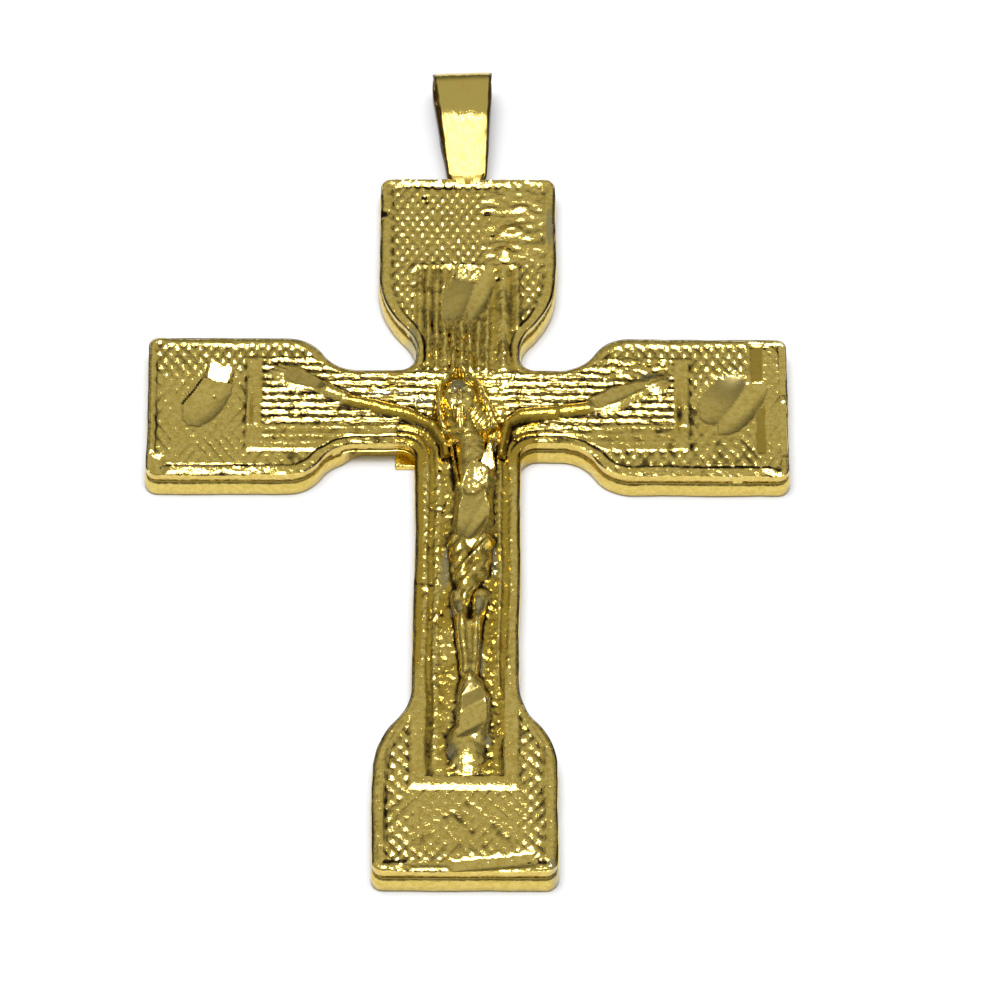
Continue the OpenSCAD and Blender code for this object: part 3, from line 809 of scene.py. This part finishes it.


# Pits and tarnish
# The casting has a few gas holes and scratches, which are darkened with painted shade, and grey
# tarnish has settled where no finger rubs it off.
# Pits: x, y and radius.
PITS = [(-2.2, 13.35, 0.2), (-2.05, 13.05, 0.15), (0.95, 12.3, 0.2), (1.2, 10.9, 0.15),
        (2.05, 9.95, 0.15), (-4.2, 12.3, 0.34), (2.35, -2.2, 0.13), (-1.38, -4.1, 0.13),
        (-1.18, -12.9, 0.14), (-12.45, 0.7, 0.06), (-1.55, -1.05, 0.2), (-0.62, -0.62, 0.2),
        (1.5, 8.1, 0.16), (-0.6, 9.05, 0.16)]
# Scratches and cracks: both ends in x and y, half width, how deep they are and how dark their
# painted shade is.
SCRATCHES = [(-13.02, 1.85, -14, 0.15, 0.1, 0.8), (-2.5, -11.05, -1.38, -11.2, 0.09, 0.45),
             (-2, -6.35, -1.25, -6.65, 0.09, 0.4), (-1.25, -6.65, -1.1, -6, 0.09, 0.35),
             (-2.05, -5.75, -1.75, -6.5, 0.08, 0.3), (2.62, -4.5, 2.6, -6.2, 0.06, 0.4),
             (13.1, -0.35, 14.05, 1.6, 0.06, 0.3)]
# Tarnish: x, y, half width and half height of each patch.
TARNISH_SPOTS = [
    (-0.45, 0.65, 0.5, 0.7), (-6.1, 0.95, 0.5, 0.25), (-4, 0.75, 1.2, 0.2),
    (-2.3, 0.25, 0.8, 0.3), (-8.5, 1.75, 0.4, 0.35), (8.9, 1.8, 0.5, 0.3),
    (1.26, -2.55, 0.26, 0.55), (-0.5, -12.75, 0.34, 0.5), (0.55, -12.6, 0.4, 0.75),
    (-1.1, -10.2, 0.22, 1.6), (1.32, -9.8, 0.18, 1.2), (0.72, -15.6, 0.2, 1.3),
    (-0.62, -21.2, 0.3, 0.55), (1.06, -20.6, 0.28, 0.35), (4.05, 11.5, 0.22, 1.7),
    (-2.75, 4.1, 0.45, 1.1), (4.15, -27.8, 0.4, 0.4), (12.9, 1.7, 0.5, 0.3)]
PIT_DEPTH, SCRATCH_DEPTH = 0.16, 0.07


def pit_at(x, y):
    """How deep a point lies in one of the pits, from 0 to 1."""
    return max(bump(x, y, pit_x, pit_y, radius, radius) for pit_x, pit_y, radius in PITS)


def scratch_at(x, y):
    """How deep a point lies in one of the scratches, from 0 to 1."""
    return max(max(limb(x, y, (x1, y1, wide, deep, x2, y2, wide, deep)), 0.0)
               for x1, y1, x2, y2, wide, deep in SCRATCHES)


def tarnish_at(x, y):
    """How much tarnish lies at a point, from 0 to 1."""
    return max(bump(x, y, spot_x, spot_y, 1.3 * wide, 1.3 * tall)
               for spot_x, spot_y, wide, tall in TARNISH_SPOTS)


# The casting's mesh
# Three sheets of fine net are laid over the outline and raised to the relief. Walls hang from
# their rim, with the seam where the two halves of the mould met, and the back closes them.
ACROSS_STEPS = 96
TOP_STEPS = 126
FOOT_STEPS = 280
ARM_STEPS = 136
CORNER_STEPS = 6
ARMPIT_STEPS = 10
# Rows of the side wall: height over the back, and how far the row stands in from the outline
WALL = [(1.43, -0.01), (1.36, -0.01), (1.0, 0.01), (0.97, 0.05), (0.94, -0.01), (0.7, -0.07),
        (0.14, -0.09), (0.04, -0.04), (0.0, 0.06)]
# Painted shade in the rows that lie under the rim and in the seam: how dark they are coloured
WALL_SHADE = {1.43: 0.6, 0.97: 1.0}
WALL_HOLLOW_ELSEWHERE = 0.3
# The walls are duller, and their colour is darkened as painted shade
WALL_DULL_SHADE = 0.28
# The lower half's edge was trimmed back under the left arm: from x to x, and how far.
TRIM_FROM, TRIM_TO, TRIM_IN = -6.3, -2.3, 0.45
LINE_DEPTH = 0.05
# The hollows are found by smoothing the face this many times. One this deep is fully dark, and
# the patina is kept thinner on the head.
SMOOTH_TIMES = 12
HOLLOW_DEPTH = 0.06
HOLLOW_MOST, HOLLOW_MOST_ON_HEAD = 1.5, 0.86


def stations(end, start, steps):
    """Places along an end and its half width there, from start to the square end."""
    straight = end.reach - CORNER - start
    places = [start + straight * i / steps for i in range(steps)]
    rows = [(place, end.half_width(place)) for place in places]
    for i in range(CORNER_STEPS + 1):
        turn = pi / 2 * i / CORNER_STEPS
        rows.append((end.reach - CORNER * (1.0 - sin(turn)),
                     LOBE_HALF - CORNER * (1.0 - cos(turn))))
    return rows


def lay_net(bm, rows, place):
    """Adds a net and spreads its rows over the stations; place turns them to the face."""
    net = bmesh.ops.create_grid(bm, x_segments=ACROSS_STEPS, y_segments=len(rows) - 1, size=1.0)
    for vert in net["verts"]:
        along, half = rows[round((vert.co.y + 1.0) / 2 * (len(rows) - 1))]
        vert.co = place(along, vert.co.x * half)


def inward(x, y):
    """The direction from the outline into the face."""
    step = 0.02
    slope = Vector((edge_distance(x + step, y) - edge_distance(x - step, y),
                    edge_distance(x, y + step) - edge_distance(x, y - step), 0.0))
    return slope.normalized()


cross_bm = bmesh.new()
middle_rows = [(-CROSSING_Y + 2 * CROSSING_Y * i / ACROSS_STEPS, STEM_HALF)
               for i in range(ACROSS_STEPS + 1)]
foot_rows = [(-along, half) for along, half in reversed(stations(FOOT, CROSSING_Y, FOOT_STEPS))]
stem_rows = foot_rows[:-1] + middle_rows + stations(TOP, CROSSING_Y, TOP_STEPS)[1:]
armpit_rows = [(CROSSING_X - ARMPIT * cos(pi / 2 * i / ARMPIT_STEPS),
                CROSSING_Y - ARMPIT * sin(pi / 2 * i / ARMPIT_STEPS))
               for i in range(ARMPIT_STEPS)]
lay_net(cross_bm, stem_rows, lambda along, across: Vector((across, along, 0.0)))
lay_net(cross_bm, armpit_rows + stations(RIGHT, CROSSING_X, ARM_STEPS),
        lambda along, across: Vector((along, -across, 0.0)))
lay_net(cross_bm, armpit_rows + stations(LEFT, CROSSING_X, ARM_STEPS),
        lambda along, across: Vector((-along, across, 0.0)))
bmesh.ops.remove_doubles(cross_bm, verts=cross_bm.verts, dist=0.002)

hollow_layer, cut_layer, amber_layer, tarnish_layer, dull_shade_layer = [
    cross_bm.verts.layers.float.new(name) for name in ("hollow", "cut", "amber", "tarnish", "dull")]
dark = {}
for vert in cross_bm.verts:
    x, y = vert.co.x, vert.co.y
    inside = edge_distance(x, y)
    rim, rim_share, line = border(x, y, inside)
    ribbed, ribbed_share, amber, dirt = ribbed_cross(x, y, inside)
    ground, cuts = panel(x, y) if ribbed_share < 1.0 else (ribbed, 0.0)
    z = blend(blend(ground, ribbed, ribbed_share), rim, rim_share) - LINE_DEPTH * line
    body, body_amber = figure(x, y)
    z = soft_max(z, GROUND_Z + body, 0.04)
    z, shine, dull, cut_amber = bright_cut(x, y, z)
    pit = pit_at(x, y)
    scratch = scratch_at(x, y)
    vert.co.z = z - PIT_DEPTH * pit - SCRATCH_DEPTH * scratch
    # Painted shade: a dark line round the foot of the figure's forms, the border's shade lines, and dark
    # in the pits and scratches; the panels' cuts and the rib valleys hold patina and dirt.
    contact_shade = ease(-0.5, -0.1, body) * ease(0.12, -0.04, body)
    cuts = (cuts * (1.0 - ribbed_share) + dirt * ribbed_share * (body < 0.0)) * (1.0 - rim_share)
    dark[vert] = (1.0 - shine) * max(0.25 * contact_shade, 0.75 * line, cuts) + 0.9 * pit + scratch
    vert[cut_layer] = shine * (1.0 - cut_amber)
    vert[dull_shade_layer] = max(dull, 0.0)
    vert[amber_layer] = max(body_amber if body > 0.0 else amber * ribbed_share, 1.3 * cut_amber)
    vert[tarnish_layer] = tarnish_at(x, y) * (1.0 - 0.8 * shine)

smooth = {vert: vert.co.z for vert in cross_bm.verts}
around = {vert: [edge.other_vert(vert) for edge in vert.link_edges] for vert in cross_bm.verts}
for _ in range(SMOOTH_TIMES):
    smooth = {vert: (smooth[vert] + sum(smooth[other] for other in near)) / (len(near) + 1)
              for vert, near in around.items()}
for vert in cross_bm.verts:
    depth = (smooth[vert] - vert.co.z) / HOLLOW_DEPTH
    on_head = abs(vert.co.x) < 2 and -2.4 < vert.co.y < 2.2
    most = HOLLOW_MOST_ON_HEAD if on_head else HOLLOW_MOST
    # The hollow layer holds the patina of the hollows and the painted shade gathered above
    vert[hollow_layer] = min(max(0.5 + 0.5 * depth + dark[vert], 0.0), most)

wall_edges = [edge for edge in cross_bm.edges if edge.is_boundary]
outline_point = {vert: (vert.co.x, vert.co.y) for edge in wall_edges for vert in edge.verts}
towards = {point: inward(*point) for point in outline_point.values()}
for wall_z, wall_in in WALL:
    grown = bmesh.ops.extrude_edge_only(cross_bm, edges=wall_edges)["geom"]
    below = {}
    for vert in (item for item in grown if isinstance(item, bmesh.types.BMVert)):
        above = next(edge.other_vert(vert) for edge in vert.link_edges
                     if edge.other_vert(vert) in outline_point)
        x, y = outline_point[above]
        below[vert] = (x, y)
        drift = 0.02 + 0.02 * wander(x, y, 2.5, 51 + wall_z)
        if wall_z < 0.9 and -CROSSING_Y < y < 0:
            drift += TRIM_IN * ease(TRIM_FROM, TRIM_FROM + 1.2, x) * ease(TRIM_TO, TRIM_TO - 0.8, x)
        spot = Vector((x, y, wall_z)) + towards[x, y] * (wall_in + drift)
        if wall_z > 0.85:
            spot.z += 0.03 * wander(x, y, 3, 55)
        vert.co = spot
        # Painted shade under the rim and in the seam; the walls are dulled and darkened as painted shade
        vert[hollow_layer] = WALL_SHADE.get(wall_z, WALL_HOLLOW_ELSEWHERE)
        vert[cut_layer] = 0.0
        vert[dull_shade_layer] = WALL_DULL_SHADE
    wall_edges = [item for item in grown if isinstance(item, bmesh.types.BMEdge) and item.is_boundary]
    outline_point = below
back = bmesh.ops.edgeloop_fill(cross_bm, edges=wall_edges)["faces"]
bmesh.ops.triangulate(cross_bm, faces=back, ngon_method="BEAUTY")
bmesh.ops.recalc_face_normals(cross_bm, faces=cross_bm.faces)

# The mould was a little uneven, so the outline wavers, and the foot end leans to the left.
for vert in cross_bm.verts:
    x, y = vert.co.x, vert.co.y
    vert.co.x += 0.05 * wander(x, y, 3, 61) + 0.03 * wander(x, y, 0.8, 62)
    vert.co.y += 0.04 * wander(x, y, 3, 63) + 0.02 * wander(x, y, 0.8, 64)
    vert.co.x -= 0.1 * ease(-9, -14, y) + 0.1 * ease(-2, -4.2, x) * ease(-20, -23, y)


# The hinge slot, its bar and the tag
# A pocket is milled in the top edge, with a curved notch over it, and a round bar crosses it for
# the bail to turn on. A small plain tag of sheet is soldered to the back beside the crossing.
BAR_Y = 14.25
BAR_Z = 0.95
BAR_R = 0.22
BAR_HALF = 1.38
POCKET_R = 0.6
POCKET_HALF = 0.78
POCKET_MOUTH = 2
NOTCH_R = 0.9
NOTCH_Y = 15.1
TAG_MIDDLE = Vector((-2.8, -2.05, 0.15))
TAG_SIZE = Vector((1.5, 1.5, 0.3))
TAG_BEVEL = 0.05
# The tag lies in the arm's shadow: its colour is darkened to near black as painted shade
TAG_SHADE = 1.13
POCKET_STEPS = 40
BAR_STEPS = 32
NOTCH_STEPS = 48


def bar_shape(radius, half, place, turn, steps):
    """A closed round bar across the cross, or standing on it."""
    bm = bmesh.new()
    bmesh.ops.create_cone(bm, cap_ends=True, segments=steps, radius1=radius, radius2=radius,
                          depth=2 * half, matrix=Matrix.Translation(place) @ turn)
    return bm


def join(base, tool_bm, operation):
    """Cuts a closed shape from a piece, or adds it, and keeps one clean shell."""
    tool = piece_from("tool", tool_bm, cast_gold)
    step = base.modifiers.new("join", "BOOLEAN")
    step.operation = operation
    step.solver = "EXACT"
    step.object = tool
    bpy.context.view_layer.update()
    shaped = base.evaluated_get(bpy.context.evaluated_depsgraph_get())
    joined = bpy.data.meshes.new_from_object(shaped)
    base.modifiers.remove(step)
    old = base.data
    base.data = joined
    bpy.data.meshes.remove(old)
    bpy.data.objects.remove(tool)


crosswise = Matrix.Rotation(pi / 2, 4, "Y")
pocket_bm = bar_shape(POCKET_R, POCKET_HALF, Vector((0.0, BAR_Y, BAR_Z)), crosswise, POCKET_STEPS)
for vert in pocket_bm.verts:
    if vert.co.y > BAR_Y + 0.001:
        vert.co.y += POCKET_MOUTH
notch_bm = bar_shape(NOTCH_R, 1.0, Vector((0.0, NOTCH_Y, BAR_Z + 1.0)), Matrix.Identity(4), NOTCH_STEPS)
bar_bm = bar_shape(BAR_R, BAR_HALF, Vector((0.0, BAR_Y, BAR_Z)), crosswise, BAR_STEPS)
tag_bm = bmesh.new()
bmesh.ops.create_cube(tag_bm, size=1.0, matrix=Matrix.Translation(TAG_MIDDLE)
                      @ Matrix.Diagonal((*TAG_SIZE, 1.0)))
bmesh.ops.bevel(tag_bm, geom=tag_bm.edges[:] + tag_bm.verts[:], offset=TAG_BEVEL, segments=2,
                profile=0.5, affect="EDGES", material=-1)
# The tag's dark dull colour is painted shade
tag_dull_shade = tag_bm.verts.layers.float.new("dull")
tag_shade = tag_bm.verts.layers.float.new("hollow")
for vert in tag_bm.verts:
    vert[tag_dull_shade] = 1.0
    vert[tag_shade] = TAG_SHADE


# Cast gold
# Brass under gold plate. The raised metal is satin and pale, the hollows hold amber and brown
# patina, a few places are tarnished grey, and the cuts are polished. The walls, the tag and the
# darker parts of the cuts are duller and darkened with painted shade, and the dark lines, pits
# and scratches are painted shade.
GOLD_PALE = (0.95, 0.735, 0.2, 1.0)
GOLD_DEEP = (0.77, 0.565, 0.11, 1.0)
GOLD_AMBER = (0.62, 0.425, 0.055, 1.0)
GOLD_BROWN = (0.23, 0.163, 0.042, 1.0)
GOLD_BLACK = (0.035, 0.023, 0.009, 1.0)
# The darkened colour of painted shade on the walls, the tag and parts of the cuts
GOLD_DULL_SHADE = (0.31, 0.235, 0.07, 1.0)
TARNISH = (0.46, 0.41, 0.22, 1.0)
SHARP_EDGE = 0.9

cast_gold, shade = new_material("cast_gold")
spot = shade.node("ShaderNodeTexCoord", None, None, 3)
hollow, cut, patina, tarnish, dull = [
    shade.layer(name) for name in ("hollow", "cut", "amber", "tarnish", "dull")]


def cloud(size, detail, rough, vector=None):
    """A soft random value from 0 to 1, in patches about that many millimetres wide."""
    return shade.node("ShaderNodeTexNoise", None, {
        "Vector": vector or spot, "Scale": 1.0 / (size * MM), "Detail": detail, "Roughness": rough})


def plated(colour, rough, relief, depth):
    """Finishes a plated metal, with a fine relief of that many millimetres."""
    micro = shade.node("ShaderNodeBump", None, {"Strength": 0.6, "Distance": depth * MM, "Height": relief})
    shade.finish("ShaderNodeOutputMaterial", shade.node("ShaderNodeBsdfPrincipled", None, {
        "Base Color": colour, "Metallic": 1.0, "Roughness": rough, "Normal": micro}))


grain = cloud(0.11, 2, 0.6)
mottle = cloud(1.1, 3, 0.6)
lumps = cloud(0.26, 2, 0.5)
amber = (patina * 0.9 + (hollow - 0.5) * 0.5 + (mottle - 0.5) * 0.7 + (grain - 0.5) * 0.6
         - cut * 0.6).ramp(0.1, 0.8)
brown = (hollow + (mottle - 0.5) * 0.35 + (grain - 0.5) * 0.4 - cut * 0.7).ramp(0.7, 1.06)
# Black as painted shade in the dark lines, pits, scratches and tag, and in the deepest hollows
black = (hollow + (lumps - 0.5) * 0.6).ramp(1.0, 1.25)
grey = (tarnish + (grain - 0.5) * 0.5 + (mottle - 0.5) * 0.5).ramp(0.2, 0.65)
colour = (lumps * 0.6 + grain * 0.4 + cut * 0.03).ramp(0.38, 0.62).between(GOLD_DEEP, GOLD_PALE)
colour = amber.between(colour, GOLD_AMBER)
# Painted shade on the walls, the tag and the darker parts of the cuts
colour = dull.between(colour, GOLD_DULL_SHADE)
colour = brown.between(colour, GOLD_BROWN)
colour = black.between(colour, GOLD_BLACK)
colour = (grey * 0.75).between(colour, TARNISH)
rough = (grain * 0.05 + mottle * 0.04 + 0.035 + hollow * 0.03 + dull * 0.24) * (1.0 - cut * 0.3)
relief = (grain * 0.5 + lumps) * (1.0 - cut * 0.85) * (1.0 - dull * 0.6)
plated(colour, rough, relief, 0.05)

cross = piece_from("cross_casting", cross_bm, cast_gold)
join(cross, pocket_bm, "DIFFERENCE")
join(cross, notch_bm, "DIFFERENCE")
join(cross, bar_bm, "UNION")
join(cross, tag_bm, "UNION")
finish_bm = bmesh.new()
finish_bm.from_mesh(cross.data)
bmesh.ops.scale(finish_bm, vec=(MM, MM, MM), verts=finish_bm.verts)
for face in finish_bm.faces:
    face.smooth = True
for edge in finish_bm.edges:
    edge.smooth = len(edge.link_faces) != 2 or edge.calc_face_angle(0.0) < SHARP_EDGE
finish_bm.to_mesh(cross.data)
finish_bm.free()
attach(cross, "pendant")
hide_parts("cross")


# The bail
# A tapered strip of gold-plated sheet is folded into a loop with a bend in its front. Its two ends
# are pressed together and curl round the hinge bar, so that the loop can swing up from the table.
STRIP_T = 0.3
BAIL_LEN = 7.25
LOOP_R = 1.375
LOOP_X = BAIL_LEN - LOOP_R
NECK_X = 0.9
BEND_X = 3
LOW_SLOPE = radians(20.5)
BARREL_R = 0.42
BAIL_LEAN = radians(2.5)
BAIL_RISE = asin((LOOP_R + 0.05 - BAR_Z) / LOOP_X)
# Half width of the strip by its distance from the hinge
STRIP_WIDTHS = [(0.0, 0.7), (0.7, 0.7), (0.8, 0.92), (0.95, 0.985), (6.6, 1.49), (6.95, 1.5),
                (7.15, 1.45), (7.25, 1.32)]
BARREL_STEPS, NECK_STEPS, BEND_STEPS, RUN_STEPS, LOOP_STEPS = 18, 24, 16, 8, 20
BAIL_ACROSS = 24
CAMBER = 0.06


def arc_points(centre, radius, start, end, steps):
    """Points of an arc in the side view of the loop, from one angle to another."""
    turns = [blend(start, end, i / steps) for i in range(steps + 1)]
    return [centre + radius * Vector((cos(turn), sin(turn))) for turn in turns]


def strip_half_width(x):
    """Half the width of the strip at a distance from the hinge."""
    for (x1, w1), (x2, w2) in zip(STRIP_WIDTHS, STRIP_WIDTHS[1:]):
        if x <= x2:
            return blend(w1, w2, max(x - x1, 0.0) / (x2 - x1))
    return STRIP_WIDTHS[-1][1]


# The outer face of the strip in its side view: barrel, neck, bend, straight run and loop. The
# back is its mirror image, and the strip's thickness lies inside it.
neck = Vector((NECK_X, STRIP_T / 2))
bend = neck + (BEND_X - NECK_X) * Vector((1.0, tan(LOW_SLOPE)))
face_r = LOOP_R - STRIP_T / 2
bend_r = (face_r - bend.y) / (1.0 - cos(LOW_SLOPE))
bend_centre = bend + bend_r * Vector((sin(LOW_SLOPE), -cos(LOW_SLOPE)))
up = pi / 2
front = arc_points(Vector((0.0, 0.0)), BARREL_R, pi, asin(STRIP_T / 2 / BARREL_R), BARREL_STEPS)
front += [neck.lerp(bend, i / NECK_STEPS) for i in range(NECK_STEPS)]
front += arc_points(bend_centre, bend_r, up + LOW_SLOPE, up, BEND_STEPS)
front += [Vector((bend_centre.x + (LOOP_X - bend_centre.x) * i / RUN_STEPS, face_r))
          for i in range(1, RUN_STEPS)]
front += arc_points(Vector((LOOP_X, 0.0)), face_r, up, 0.0, LOOP_STEPS)
path = front + [Vector((point.x, -point.y)) for point in reversed(front[:-1])]

bail_bm = bmesh.new()
bmesh.ops.create_grid(bail_bm, x_segments=BAIL_ACROSS, y_segments=len(path) - 1, size=1.0)
# The strip's colour is darkened towards its side edges as painted shade
edge_shade_layer = bail_bm.verts.layers.float.new("edge")
brushed_layer = bail_bm.verts.layers.float.new("brushed")
for vert in bail_bm.verts:
    row = round((vert.co.y + 1.0) / 2 * (len(path) - 1))
    point = path[row]
    outwards = 1.0 if row < len(path) / 2 else -1.0
    share = vert.co.x
    vert[edge_shade_layer] = ease(0.78, 0.96, abs(share))
    reach = point.x + 0.3 * wander(share * 3, 0.0, 1.0, 75)
    vert[brushed_layer] = ease(BEND_X + 1.1, BEND_X + 0.5, reach)
    camber = CAMBER * share ** 6
    ripple = 0.012 * wander(share * 2.2, point.x * 0.35, 0.5, 71 + outwards)
    bend_run = bump(point.x, 0.0, BEND_X + 0.2, 0.0, 0.9, 1.0)
    ripple += 0.045 * bend_run * wander(share * 7, point.x * 1.5, 1.0, 74)
    waver = 0.03 * wander(point.x, 5 * outwards + share, 1.4, 73)
    side = share * strip_half_width(point.x)
    vert.co = Vector((side + waver * abs(share), point.x, point.y + outwards * (ripple - camber)))
bmesh.ops.remove_doubles(bail_bm, verts=bail_bm.verts, dist=0.0005)
bmesh.ops.recalc_face_normals(bail_bm, faces=bail_bm.faces)
bmesh.ops.solidify(bail_bm, geom=bail_bm.faces[:], thickness=STRIP_T)
bmesh.ops.recalc_face_normals(bail_bm, faces=bail_bm.faces)

GOLD_STRIP = (0.8, 0.62, 0.15, 1.0)
GOLD_STRIP_DEEP = (0.8, 0.56, 0.1, 1.0)
# The colour of the painted shade along the strip's edges
GOLD_EDGE_SHADE = (0.1, 0.055, 0.015, 1.0)
strip_gold, shade = new_material("strip_gold")
spot = shade.node("ShaderNodeTexCoord", None, None, 3)
edge = shade.layer("edge")
brushed = shade.layer("brushed")
stretched = shade.node("ShaderNodeMapping", None, {"Vector": spot, "Scale": (1.0, 0.1, 1.0)})
drawn = cloud(0.14, 2, 0.6, stretched)
mottle = cloud(0.9, 3, 0.6)
grain = cloud(0.1, 3, 0.6)
colour = (mottle + (drawn - 0.5) * 0.4).ramp(0.45, 0.8).between(GOLD_STRIP, GOLD_STRIP_DEEP)
# Painted shade along the strip's side edges
colour = (edge + (mottle - 0.5) * 0.8).ramp(0.55, 0.95).between(colour, GOLD_EDGE_SHADE)
rough = drawn * 0.08 + grain * 0.05 + 0.05 + brushed * (drawn * 0.2 + 0.29)
plated(colour, rough, drawn + grain * 0.3 + mottle * 0.4, 0.04)

bail = piece_from("bail_strip", bail_bm, strip_gold)
seat = (Matrix.Scale(MM, 4) @ Matrix.Translation((0.0, BAR_Y, BAR_Z))
        @ Matrix.Rotation(BAIL_RISE, 4, "X") @ Matrix.Rotation(BAIL_LEAN, 4, "Z"))
bail.data.transform(seat)
for polygon in bail.data.polygons:
    polygon.use_smooth = True
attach(bail, "bail_loop")
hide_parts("bail")
